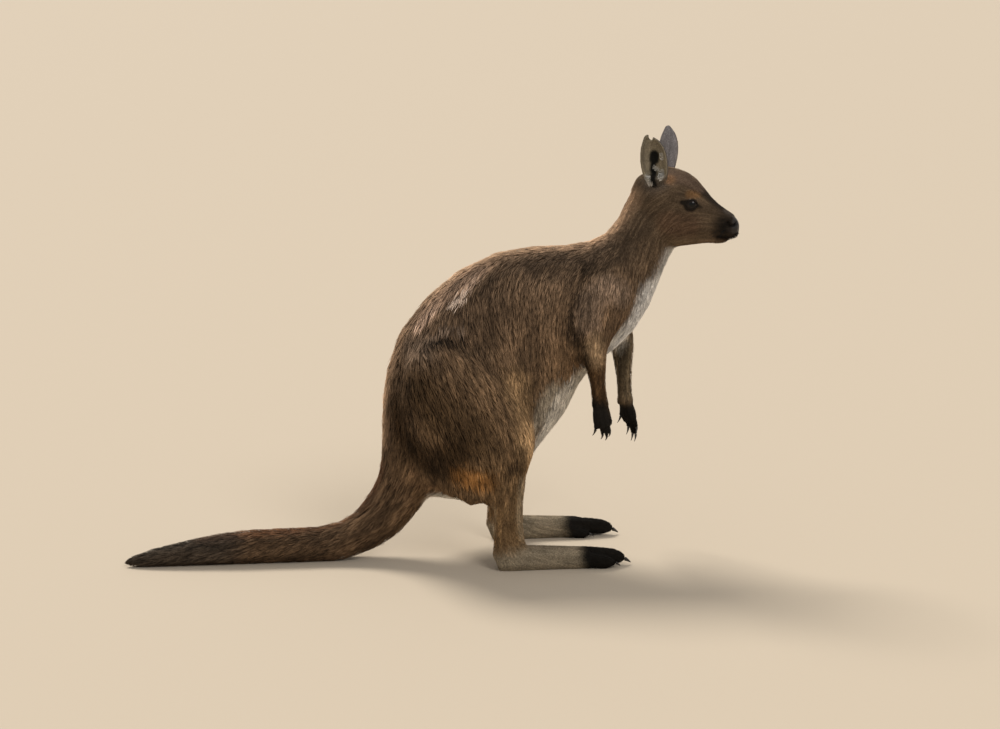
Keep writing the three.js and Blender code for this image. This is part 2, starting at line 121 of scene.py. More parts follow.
def ramp(low, high, x):
    """A soft step from 0 at low to 1 at high."""
    t = np.clip((x - low) / (high - low), 0, 1)
    return t * t * (3 - 2 * t)


def path_distance(points, path):
    """How far each point is from a path of straight lengths, in the path's own number of dimensions."""
    path = np.array(path, float)
    best = np.linalg.norm(points - path[0], axis=1)
    for start, end in zip(path[:-1], path[1:]):
        way = end - start
        share = np.clip((points - start) @ way / max(way @ way, 1e-12), 0, 1)
        best = np.minimum(best, np.linalg.norm(points - start - share[:, None] * way, axis=1))
    return best


def mask(points, path, core, gone):
    """1 within core of a path, 0 beyond gone."""
    return ramp(gone, core, path_distance(points, path))


def on_left(points):
    """The same points, with those on the animal's right mirrored to its left."""
    return points * [1, 0, 1] + np.abs(points) * [0, 1, 0]


def read_points(mesh, key="co"):
    data = np.empty(len(mesh.vertices) * 3, np.float32)
    mesh.vertices.foreach_get(key, data)
    return data.reshape(-1, 3).astype(float)


def read_triangles(mesh):
    mesh.calc_loop_triangles()
    data = np.empty(len(mesh.loop_triangles) * 3, np.int32)
    mesh.loop_triangles.foreach_get("vertices", data)
    return data.reshape(-1, 3)


# %% Which parts are flesh, and how their coat grows
SIDES = ("right", "left")
# Each row: depth of the coat, length and width of a lock, all in millimetres, and how often locks overlap.
DEPTH, LENGTH, WIDTH, OVERLAP = range(4)
GROWTH = {
    "head": (2.0, 7.0, 0.82, 1.7),
    "neck": (8.0, 24.0, 1.7, 2.8),
    "trunk": (12.0, 34.0, 2.0, 3.4),
    "tail_root": (9.0, 27.0, 1.9, 3.0),
    "tail_middle": (5.5, 19.0, 1.6, 2.6),
    "tail_tip": (4.0, 15.0, 1.5, 2.4),
    "ear": (0.5, 4.0, 0.8, 1.1),
    "thigh": (12.0, 32.0, 2.0, 3.4),
    "shank": (3.0, 12.0, 1.3, 1.9),
    "foot": (1.2, 8.0, 1.2, 1.2),
    "upper_arm": (6.5, 20.0, 1.7, 2.7),
    "forearm": (3.2, 13.0, 1.3, 2.0),
    "hand": (0.5, 4.5, 0.9, 1.0),
}
# How far each part relaxes when the skin is smoothed.
SOFTNESS = {"head": 0.28, "ear": 0.06, "foot": 0.12, "hand": 0.03, "forearm": 0.35, "shank": 0.4}
PAIRED = ("ear", "thigh", "shank", "foot", "upper_arm", "forearm", "hand")
FLESH = [n for n in GROWTH if n not in PAIRED] + [f"{p}_{s}" for p in PAIRED for s in SIDES]
KINDS = [n.removesuffix("_right").removesuffix("_left") for n in FLESH]
EAR_KIND = np.array([k == "ear" for k in KINDS])
EAR_ROOT = (0.845, 0.825)  # heights between which the ear goes over into its root, in metres
print("flesh parts:", len(FLESH))

# %% Melt the parts into one surface
FATTEN = 0.0005  # closes the small gaps between parts
VOXEL = 0.0018


def merged_copy(name):
    """A bmesh of a frame node with its doubles merged."""
    part = bmesh.new()
    part.from_mesh(nodes[name].data)
    bmesh.ops.remove_doubles(part, verts=part.verts, dist=1e-5)
    part.normal_update()
    return part


melt = bmesh.new()
for name in FLESH + ["eye_right", "eye_left"]:
    part = merged_copy(name)
    for vertex in part.verts:
        vertex.co += vertex.normal * FATTEN
    holder = bpy.data.meshes.new("holder")
    part.to_mesh(holder)
    melt.from_mesh(holder)
    part.free()
    bpy.data.meshes.remove(holder)
skin_mesh = bpy.data.meshes.new("skin")
melt.to_mesh(skin_mesh)
melt.free()
skin = bpy.data.objects.new("skin", skin_mesh)
scene.collection.objects.link(skin)
remesh = skin.modifiers.new("melt", "REMESH")
remesh.mode = "VOXEL"
remesh.voxel_size = VOXEL


def bake_modifiers(piece):
    """Puts what the modifiers make into the piece's own mesh."""
    graph = bpy.context.evaluated_depsgraph_get()
    made = bpy.data.meshes.new_from_object(piece.evaluated_get(graph))
    piece.modifiers.clear()
    made.name = piece.data.name
    old, piece.data = piece.data, made
    bpy.data.meshes.remove(old)


bake_modifiers(skin)
print("melted skin:", len(skin.data.vertices), "vertices")

# %% Find the part under each point of the skin
flesh_points, flesh_faces, face_part = [], [], []
for index, name in enumerate(FLESH):
    start = sum(map(len, flesh_points))
    flesh_points.append(read_points(nodes[name].data))
    triangles = read_triangles(nodes[name].data)
    flesh_faces.append(triangles + start)
    face_part.extend([index] * len(triangles))
face_part = np.array(face_part)
flesh_tree = BVHTree.FromPolygons(
    np.concatenate(flesh_points).tolist(), np.concatenate(flesh_faces).tolist(), all_triangles=True
)


def nearest(tree, points):
    """The nearest place on a tree's surface, its face and how far off it is."""
    found = [tree.find_nearest(p) for p in points.tolist()]
    places = np.array([tuple(f[0]) for f in found])
    return places, np.array([f[2] for f in found]), np.array([f[3] for f in found])


def neighbours(mesh):
    """For each vertex the vertices one edge away, as one long list with the start of each run."""
    ends = np.empty(len(mesh.edges) * 2, np.int32)
    mesh.edges.foreach_get("vertices", ends)
    ends = ends.reshape(-1, 2)
    both = np.concatenate([ends, ends[:, ::-1]])
    both = both[np.argsort(both[:, 0], kind="stable")]
    count = np.bincount(both[:, 0], minlength=len(mesh.vertices))
    return both[:, 1], np.concatenate([[0], np.cumsum(count)[:-1]]), count


def relax(values, around, rounds, share=1.0):
    """Moves each vertex's value towards its neighbours' mean. share is how far, a number or one each."""
    others, starts, count = around
    share = np.asarray(share, float)
    values = values.astype(float)
    if values.ndim > 1:
        share = share.reshape(-1, 1)
        count = count[:, None]
    for _ in range(rounds):
        values = values + (np.add.reduceat(values[others], starts, axis=0) / count - values) * share
    return values


def growth(column):
    """One column of the growth table, a number for each flesh part."""
    return np.array([GROWTH[k][column] for k in KINDS])


# %% Relax the body and thin the mesh
SMOOTH_ROUNDS = 70
SKIN_TRIANGLES = 160000
points = read_points(skin.data)
around = neighbours(skin.data)
_, face, _ = nearest(flesh_tree, points)
part = face_part[face]
softness = np.array([SOFTNESS.get(k, 1.0) for k in KINDS])[part]
EAR_ROOT_SOFTER = 0.25
softness = softness + EAR_ROOT_SOFTER * EAR_KIND[part] * ramp(*EAR_ROOT, points[:, 2])
softness = relax(softness, around, 12)
points = relax(points, around, SMOOTH_ROUNDS, softness)
skin.data.vertices.foreach_set("co", points.astype(np.float32).ravel())
group = skin.vertex_groups.new(name="thin_out")
coarse = np.clip(softness, 0.1, 1)
for level in np.unique(np.round(coarse, 1)):
    group.add(np.flatnonzero(np.round(coarse, 1) == level).tolist(), float(level), "REPLACE")
thin = skin.modifiers.new("thin", "DECIMATE")
thin.ratio = SKIN_TRIANGLES / (2 * len(skin.data.polygons))
thin.vertex_group = "thin_out"
thin.vertex_group_factor = 2
bake_modifiers(skin)
skin.vertex_groups.clear()
print("thinned skin:", len(skin.data.vertices), "vertices,", len(skin.data.polygons), "faces")

# %% [markdown]
# ## The head's own frame
# The head is turned to the right on the neck. Its features are easier to place in a frame that turns
# with it: x runs from the ears to the nose, y to the animal's left and z up.

# %% To the head's frame and back
HEAD_PIVOT = 0.48604  # x of the upright axis that the head turns about, in metres
HEAD_TURN = math.radians(-24)
HEAD_COS, HEAD_SIN = math.cos(HEAD_TURN), math.sin(HEAD_TURN)
EYE_PLACE = np.array([0.094, 0.0355, 0.781])  # of the left eye, in the head's frame
EYE_RADIUS = 0.0145
MIRROR = {"right": -1, "left": 1}


def to_head(points):
    x, y, z = (points - [HEAD_PIVOT, 0, 0]).T
    return np.stack([HEAD_COS * x + HEAD_SIN * y, HEAD_COS * y - HEAD_SIN * x, z], 1)


def turn_head(ways):
    """Directions of the head's frame, turned into the scene's."""
    x, y, z = ways.T
    return np.stack([HEAD_COS * x - HEAD_SIN * y, HEAD_SIN * x + HEAD_COS * y, z], 1)


def from_head(points):
    return turn_head(points) + [HEAD_PIVOT, 0, 0]


# %% Finer faces where the head has small features
def refine(mesh, centre, radius, cuts):
    """Splits the edges near a place."""
    shape = bmesh.new()
    shape.from_mesh(mesh)
    centre = Vector(centre)
    close = {v for v in shape.verts if (v.co - centre).length < radius}
    edges = [e for e in shape.edges if e.verts[0] in close and e.verts[1] in close]
    bmesh.ops.subdivide_edges(shape, edges=edges, cuts=cuts, use_grid_fill=True)
    bmesh.ops.triangulate(shape, faces=shape.faces)
    shape.to_mesh(mesh)
    shape.free()


for side in SIDES:
    refine(skin.data, from_head(np.array([EYE_PLACE * [1, MIRROR[side], 1]]))[0], 0.022, 2)
refine(skin.data, from_head(np.array([[0.178, 0, 0.733]]))[0], 0.032, 1)
print("finer skin:", len(skin.data.vertices), "vertices")

# %% Sink the skin by the coat's depth
points = read_points(skin.data)
around = neighbours(skin.data)
_, face, _ = nearest(flesh_tree, points)
part = face_part[face]
is_head = part == FLESH.index("head")
SOLE_TOP = 0.0022  # the skin below this height rests on the floor
FLOOR_CLEAR = 0.0006
on_floor = points[:, 2] < SOLE_TOP
SHALLOW = 1.1  # a coat more shallow than this, in mm, is evened out less than the rest
part_depth = growth(DEPTH)[part]
depth = relax(part_depth / 1000, around, 30, 1 - 0.8 * (part_depth < SHALLOW))
# The coat thins towards the tail's tip and where the skin rests on the floor.
tail_taper = ramp(-0.665, -0.56, points[:, 0])
depth = depth * np.where(points[:, 0] < -0.5, 0.25 + 0.75 * tail_taper, 1) * np.where(on_floor, 0.15, 1)
normals = read_points(skin.data, "normal")
normals = unit(relax(normals, around, 6))
outer = points  # the tips of the coat over each point of the skin
points = points - normals * (depth + FATTEN * 0.5)[:, None]
THIGH_TOP = [(-0.018, 0.12, 0.486), (0.003, 0.115, 0.489), (0.022, 0.108, 0.498), (0.05, 0.11, 0.496),
             (0.10, 0.12, 0.482)]
ARMPIT = [(0.325, 0.07, 0.650), (0.318, 0.09, 0.615), (0.306, 0.103, 0.583), (0.294, 0.109, 0.544),
          (0.297, 0.108, 0.511), (0.318, 0.098, 0.481)]
# Folds where the thigh and the arm meet the flank: path, depth, full within, gone beyond (metres).
FOLDS = [(THIGH_TOP, 0.009, 0.002, 0.020), (ARMPIT, 0.006, 0.002, 0.016)]
for path, fold_depth, core, gone in FOLDS:
    points = points - normals * (fold_depth * mask(on_left(outer), path, core, gone))[:, None]
points[:, 2] = np.where(on_floor, FLOOR_CLEAR, np.maximum(points[:, 2], FLOOR_CLEAR))
print("coat depth, mm: least", round(depth.min() * 1000, 2), "most", round(depth.max() * 1000, 1))

# %% [markdown]
# ## Eyelids, nostrils and mouth
# The skin is pushed and pulled like clay. Around each eye it is drawn out over the ball as two lids and
# sunk below the ball inside the almond between them. Nostrils are commas on the sides of the nose, and
# the mouth is a groove that runs back and slightly down from under it.

# %% Eyelids
LID_THICKNESS = 0.0012
OPENING_HALF = 0.0122  # half the almond's length
UPPER_HEIGHT, LOWER_HEIGHT = 0.0090, 0.0086
EYE_FORWARD = math.radians(20)  # how far the eye looks forward of straight out
ALMOND_POWER = 0.62  # how blunt the almond's ends are
LID_EDGE = -0.0002  # the ball shows from this far outside the almond's edge
BALL_SINK = 0.0028  # how far the skin lies below the ball's surface inside the almond
LID_REGION = 0.034  # how far from the eye's centre the lids reach


def eye_axes(side):
    """The eye's centre, and the ways along its slit, up and out, in the head's frame."""
    s = MIRROR[side]
    out = np.array([math.sin(EYE_FORWARD), s * math.cos(EYE_FORWARD), 0.06])
    out = out / np.linalg.norm(out)
    slit = np.array([math.cos(EYE_FORWARD), -s * math.sin(EYE_FORWARD), -0.06])
    slit = slit / np.linalg.norm(slit)
    up = np.cross(slit, out) * s
    up = up if up[2] > 0 else -up
    return EYE_PLACE * [1, s, 1], slit, up, out


def eye_opening(head_points, side):
    """Reach from the eye's centre, and how far inside the almond a point is, over the ball's surface."""
    centre, slit, up, out = eye_axes(side)
    offset = head_points - centre
    reach = np.linalg.norm(offset, axis=1)
    along = np.arctan2(offset @ slit, offset @ out) * EYE_RADIUS
    height = np.arctan2(offset @ up, offset @ out) * EYE_RADIUS
    curve = np.clip(1 - (along / OPENING_HALF) ** 2, 0, 1) ** ALMOND_POWER
    lid = np.where(height > 0, UPPER_HEIGHT, LOWER_HEIGHT) * curve
    inside = lid - np.abs(height)
    ends = OPENING_HALF - np.abs(along)
    inside = np.where(ends < 0, -np.hypot(ends, height), inside)
    return reach, np.where(offset @ out > 0, inside, -0.05), height


head_points = to_head(points)
lid_rim = np.zeros(len(points))
eye_hole = np.zeros(len(points), bool)
for side in SIDES:
    centre = eye_axes(side)[0]
    reach, inside, height = eye_opening(head_points, side)
    close = reach < LID_REGION
    lid_reach = EYE_RADIUS + LID_THICKNESS
    crease = 0.0007 * np.exp(-(((-inside - 0.0036) / 0.0009) ** 2)) * (height > 0)
    held = np.maximum(reach, lid_reach) - crease
    fade = ramp(0.013, 0.004, -inside)
    sunk = np.minimum(reach, EYE_RADIUS - BALL_SINK)
    target = np.where(inside > LID_EDGE, sunk, reach + (held - reach) * fade)
    change = np.where(close, target / reach, 1)
    head_points = np.where(close[:, None], centre + (head_points - centre) * change[:, None], head_points)
    lid_rim = np.maximum(lid_rim, np.where(close, np.exp(-((inside / 0.0017) ** 2)), 0))
    eye_hole |= close & (inside > LID_EDGE)
print("points under the lids' edges:", int((lid_rim > 0.5).sum()))

# %% Nostrils, mouth and nose pad
NOSTRIL = np.array([[0.170, 0.743], [0.176, 0.7375], [0.183, 0.737], [0.188, 0.742]])
MOUTH = np.array([
    [0.1905, 0.717], [0.183, 0.7095], [0.173, 0.7065], [0.161, 0.7095], [0.146, 0.713], [0.134, 0.7155],
])


def dent(points, normals, far, width, deep):
    return points - normals * (deep * np.exp(-((far / width) ** 2)))[:, None]


head_normals = to_head(normals + [HEAD_PIVOT, 0, 0])
profile = head_points[:, [0, 2]]
sideways = np.abs(head_points[:, 1])
in_head = is_head & (head_points[:, 0] > 0.12)
nostril_far = np.where(in_head & (sideways > 0.006), path_distance(profile, NOSTRIL), 1)
mouth_far = np.where(in_head, path_distance(profile, MOUTH), 1)
mouth_deep = 0.0026 * ramp(0.130, 0.142, head_points[:, 0])
philtrum_far = np.where(in_head & (head_points[:, 0] > 0.186) & (head_points[:, 2] < 0.737), sideways, 1)
head_points = dent(head_points, head_normals, nostril_far, 0.0027, 0.0058)
head_points = dent(head_points, head_normals, mouth_far, 0.0016, mouth_deep)
head_points = dent(head_points, head_normals, philtrum_far, 0.0012, 0.0014)
nose_pad = np.where(in_head, ramp(0.176, 0.184, head_points[:, 0]) * ramp(0.716, 0.724, head_points[:, 2]), 0)
points = np.where(is_head[:, None], from_head(head_points), points)
skin.data.vertices.foreach_set("co", points.astype(np.float32).ravel())
skin.data.update()
normals = read_points(skin.data, "normal")

# %% [markdown]
# ## The lie of the coat
# Fur lies the way a hand would stroke it: back from the nose, down the neck, back along the spine, then
# down and forward over the ribs and thigh, down the limbs and out along the tail. About ninety comb
# strokes to a side say so, and every point of the skin takes a blend of the strokes near it.

# %% Comb strokes
# Each stroke is a place x, y, z and a way x, y, z, for the left side; the right side mirrors it.
BODY_STROKES = [
    (0.440, 0.00, 0.800, -0.5, 0.0, -0.86), (0.390, 0.00, 0.730, -0.75, 0.0, -0.65),
    (0.300, 0.00, 0.690, -1.0, 0.0, -0.10), (0.200, 0.00, 0.685, -1.0, 0.0, -0.12),
    (0.100, 0.00, 0.650, -0.93, 0.0, -0.36), (0.000, 0.00, 0.590, -0.8, 0.0, -0.60),
    (-0.060, 0.00, 0.510, -0.5, 0.0, -0.86), (-0.095, 0.00, 0.400, -0.2, 0.0, -1.0),
    (-0.100, 0.00, 0.300, -0.1, 0.0, -1.0), (-0.110, 0.00, 0.230, -0.2, 0.0, -1.0),
    (-0.130, 0.00, 0.170, -0.5, 0.0, -0.86), (-0.200, 0.00, 0.110, -0.85, 0.0, -0.5),
    (-0.280, 0.00, 0.075, -1.0, 0.0, -0.10), (-0.500, 0.00, 0.050, -1.0, 0.0, 0.0),
    (0.257, 0.10, 0.605, -0.05, 0.1, -1.0), (0.213, 0.11, 0.565, 0.1, 0.0, -1.0),
    (0.147, 0.11, 0.543, 0.35, 0.0, -0.93), (0.084, 0.10, 0.543, 0.5, 0.0, -0.85),
    (0.042, 0.08, 0.563, 0.3, 0.3, -0.85), (0.020, 0.09, 0.528, 0.6, 0.2, -0.77),
    (-0.040, 0.06, 0.500, 0.05, 0.5, -0.85), (0.146, 0.12, 0.476, 0.6, 0.0, -0.80),
    (0.190, 0.12, 0.435, 0.62, 0.0, -0.78), (0.250, 0.11, 0.450, 0.3, 0.0, -0.95),
    (0.292, 0.11, 0.518, 0.05, 0.0, -1.0), (0.100, 0.12, 0.460, 0.85, 0.1, -0.5),
    (0.014, 0.12, 0.497, 0.7, 0.3, -0.6), (0.057, 0.15, 0.423, 0.75, 0.0, -0.66),
    (-0.030, 0.11, 0.440, 0.45, 0.3, -0.8), (0.012, 0.15, 0.293, 0.6, 0.0, -0.8),
    (0.098, 0.16, 0.293, 0.6, 0.0, -0.8), (0.167, 0.13, 0.373, 0.5, -0.1, -0.86),
    (0.206, 0.13, 0.304, 0.15, -0.1, -0.98), (0.170, 0.15, 0.230, 0.05, 0.0, -1.0),
    (0.099, 0.15, 0.209, 0.25, 0.0, -0.97), (0.040, 0.15, 0.220, 0.35, 0.0, -0.93),
    (-0.069, 0.09, 0.323, 0.15, 0.3, -0.93), (-0.030, 0.12, 0.200, 0.3, 0.0, -0.95),
    (-0.090, 0.05, 0.179, -0.45, 0.1, -0.88), (-0.160, 0.05, 0.100, -0.8, 0.0, -0.6),
    (-0.286, 0.04, 0.047, -1.0, 0.0, -0.15), (-0.450, 0.03, 0.040, -1.0, 0.0, -0.1),
    (-0.620, 0.02, 0.030, -1.0, 0.0, -0.1), (0.440, 0.06, 0.694, 0.1, 0.0, -1.0),
    (0.484, 0.05, 0.671, 0.5, 0.0, -0.86), (0.400, 0.05, 0.720, -0.25, 0.0, -0.97),
    (0.453, 0.04, 0.787, -0.35, 0.1, -0.93), (0.460, 0.06, 0.640, 0.35, 0.0, -0.93),
    (0.505, 0.00, 0.660, -0.2, 0.0, -0.98), (0.470, 0.00, 0.600, -0.35, 0.0, -0.94),
    (0.430, 0.00, 0.520, -0.5, 0.0, -0.87), (0.370, 0.00, 0.450, -0.6, 0.0, -0.8),
    (0.310, 0.00, 0.380, -0.6, 0.0, -0.8), (0.250, 0.00, 0.280, -0.6, 0.0, -0.8),
    (0.180, 0.00, 0.180, -0.9, 0.0, -0.4), (0.060, 0.00, 0.140, -1.0, 0.0, -0.1),
    (0.289, 0.07, 0.371, 0.45, 0.0, -0.89), (0.248, 0.10, 0.369, 0.5, 0.0, -0.87),
    (0.330, 0.08, 0.645, -0.3, 0.3, -0.9), (0.345, 0.10, 0.582, -0.6, 0.0, -0.8),
    (0.412, 0.10, 0.558, -0.5, 0.0, -0.86), (0.400, 0.08, 0.620, -0.1, 0.2, -0.97),
    (0.375, 0.10, 0.600, -0.65, 0.0, -0.76), (0.360, 0.105, 0.530, -0.4, 0.0, -0.92),
    (0.344, 0.11, 0.428, 0.08, 0.0, -1.0), (0.359, 0.11, 0.335, 0.05, 0.0, -1.0),
    (0.440, 0.09, 0.400, 0.05, 0.0, -1.0), (0.452, 0.09, 0.310, 0.05, 0.0, -1.0),
    (0.200, 0.14, 0.180, -0.1, 0.0, -1.0), (0.160, 0.14, 0.118, 0.0, 0.0, -1.0),
    (0.130, 0.12, 0.050, 0.0, 0.0, -1.0), (0.190, 0.14, 0.060, 0.7, 0.0, -0.7),
    (0.220, 0.14, 0.040, 0.97, 0.0, -0.25), (0.300, 0.14, 0.030, 1.0, 0.0, -0.1),
    (0.390, 0.14, 0.020, 1.0, 0.0, -0.2),
]
HEAD_STROKES = [
    (0.188, 0.008, 0.745, -1.0, 0.2, 0.3), (0.150, 0.020, 0.775, -1.0, 0.2, 0.3),
    (0.150, 0.026, 0.735, -1.0, 0.2, 0.0), (0.120, 0.036, 0.750, -1.0, 0.3, 0.0),
    (0.080, 0.050, 0.730, -0.9, 0.2, -0.3), (0.040, 0.052, 0.740, -0.6, 0.0, -0.8),
    (0.020, 0.048, 0.780, -0.8, 0.0, -0.45), (0.095, 0.045, 0.803, -0.9, 0.0, 0.4),
    (0.060, 0.030, 0.845, -1.0, 0.0, 0.1), (0.100, 0.000, 0.832, -0.85, 0.0, 0.5),
    (0.150, 0.000, 0.778, -0.8, 0.0, 0.6), (0.030, 0.000, 0.858, -1.0, 0.0, -0.1),
    (-0.010, 0.000, 0.845, -0.7, 0.0, -0.7), (0.150, 0.010, 0.697, -1.0, 0.0, -0.1),
    (0.100, 0.015, 0.692, -1.0, 0.0, -0.25), (0.060, 0.020, 0.682, -0.8, 0.0, -0.6),
]


def both_sides(rows):
    rows = np.array(rows, float)
    flip = np.where(np.arange(rows.shape[1]) % 3 == 1, -1, 1)
    return np.concatenate([rows, rows * flip])


body_strokes = both_sides(BODY_STROKES)
head_strokes = both_sides(HEAD_STROKES)
head_strokes = np.hstack([from_head(head_strokes[:, :3]), turn_head(head_strokes[:, 3:])])
strokes = np.concatenate([body_strokes, head_strokes])


def comb(points, normals):
    """The way the coat lies at each point, along the surface."""
    ways = np.zeros_like(points)
    for place, way in zip(strokes[:, :3], unit(strokes[:, 3:])):
        near = 1 / (((points - place) ** 2).sum(1) + 0.015**2) ** 2
        ways += near[:, None] * way
    ways = unit(ways)
    return unit(ways - normals * (ways * normals).sum(1, keepdims=True))


smooth_normals = unit(relax(normals, around, 3))
lie = comb(points, smooth_normals)
is_ear = EAR_KIND[part]
lie = np.where(is_ear[:, None], [0, 0, 1.0], lie)
lie = relax(lie, around, 8)
lie = unit(lie - smooth_normals * (lie * smooth_normals).sum(1, keepdims=True))
print("comb strokes:", len(strokes))

# %% [markdown]
# ## The markings
# Skin and coat share one set of markings: sooty brown, with tan along the spine that a painted highlight
# makes paler where the back's upper edge is lit, dark at the shoulder blade and back of the thigh, painted
# shade in the creases of the armpit and over the thigh with a painted highlight just above the thigh's
# crease, gold at the thigh's front, pale under the throat and belly, pale tips under a painted highlight
# where the right flank's coat is ruffled, with painted shadow below them, and black on the muzzle, hands,
# toes and tail tip. Each marking is a soft mask around a place or a path. The paths lie on the frame's
# faces, where the coat's tips are, so a point of the skin is coloured by the place of the tips over it.

# %% Base colours of the parts
BASE = {
    "head": (0.145, 0.099, 0.061), "neck": (0.082, 0.056, 0.037), "trunk": (0.166, 0.114, 0.082),
    "tail_root": (0.122, 0.070, 0.032), "tail_middle": (0.142, 0.077, 0.040),
    "tail_tip": (0.026, 0.023, 0.021), "ear": (0.12, 0.105, 0.095), "thigh": (0.108, 0.064, 0.032),
    "shank": (0.285, 0.173, 0.082), "foot": (0.320, 0.260, 0.180), "upper_arm": (0.275, 0.198, 0.148),
    "forearm": (0.155, 0.086, 0.038), "hand": (0.009, 0.007, 0.005),
}

# %% Soft masks and markings
RIDGE = [(0.425, 0, 0.78), (0.39, 0, 0.725), (0.33, 0, 0.695), (0.2, 0, 0.688), (0.1, 0, 0.655),
         (0.0, 0, 0.59), (-0.06, 0, 0.51), (-0.095, 0, 0.4), (-0.102, 0, 0.28)]
TAIL_TOP = [(-0.11, 0, 0.2), (-0.14, 0, 0.15), (-0.2, 0, 0.105), (-0.3, 0, 0.08), (-0.5, 0, 0.07)]
THROAT = [(0.505, 0, 0.675), (0.478, 0, 0.61)]
CHEST = [(0.465, 0, 0.575), (0.43, 0, 0.515), (0.38, 0, 0.45)]
BELLY = [(0.40, 0, 0.47), (0.31, 0, 0.375), (0.255, 0, 0.29), (0.19, 0, 0.18), (0.06, 0, 0.135)]
RUFFLE = [(0.092, -0.054, 0.625), (0.067, -0.067, 0.595), (0.045, -0.073, 0.571)]
# The ruffle's lower end carries a painted highlight on its pale tips.
RUFFLE_HIGHLIGHT = RUFFLE[1:]  # its lower end is the palest
RUFFLE_LOW = [(0.003, -0.056, 0.560), (-0.033, -0.056, 0.519)]
RUFFLE_SHADE = [(0.062, -0.086, 0.563), (0.085, -0.080, 0.580), (0.103, -0.076, 0.594)]
SHOULDER_BLADE = [(0.326, 0.069, 0.652), (0.334, 0.082, 0.635)]
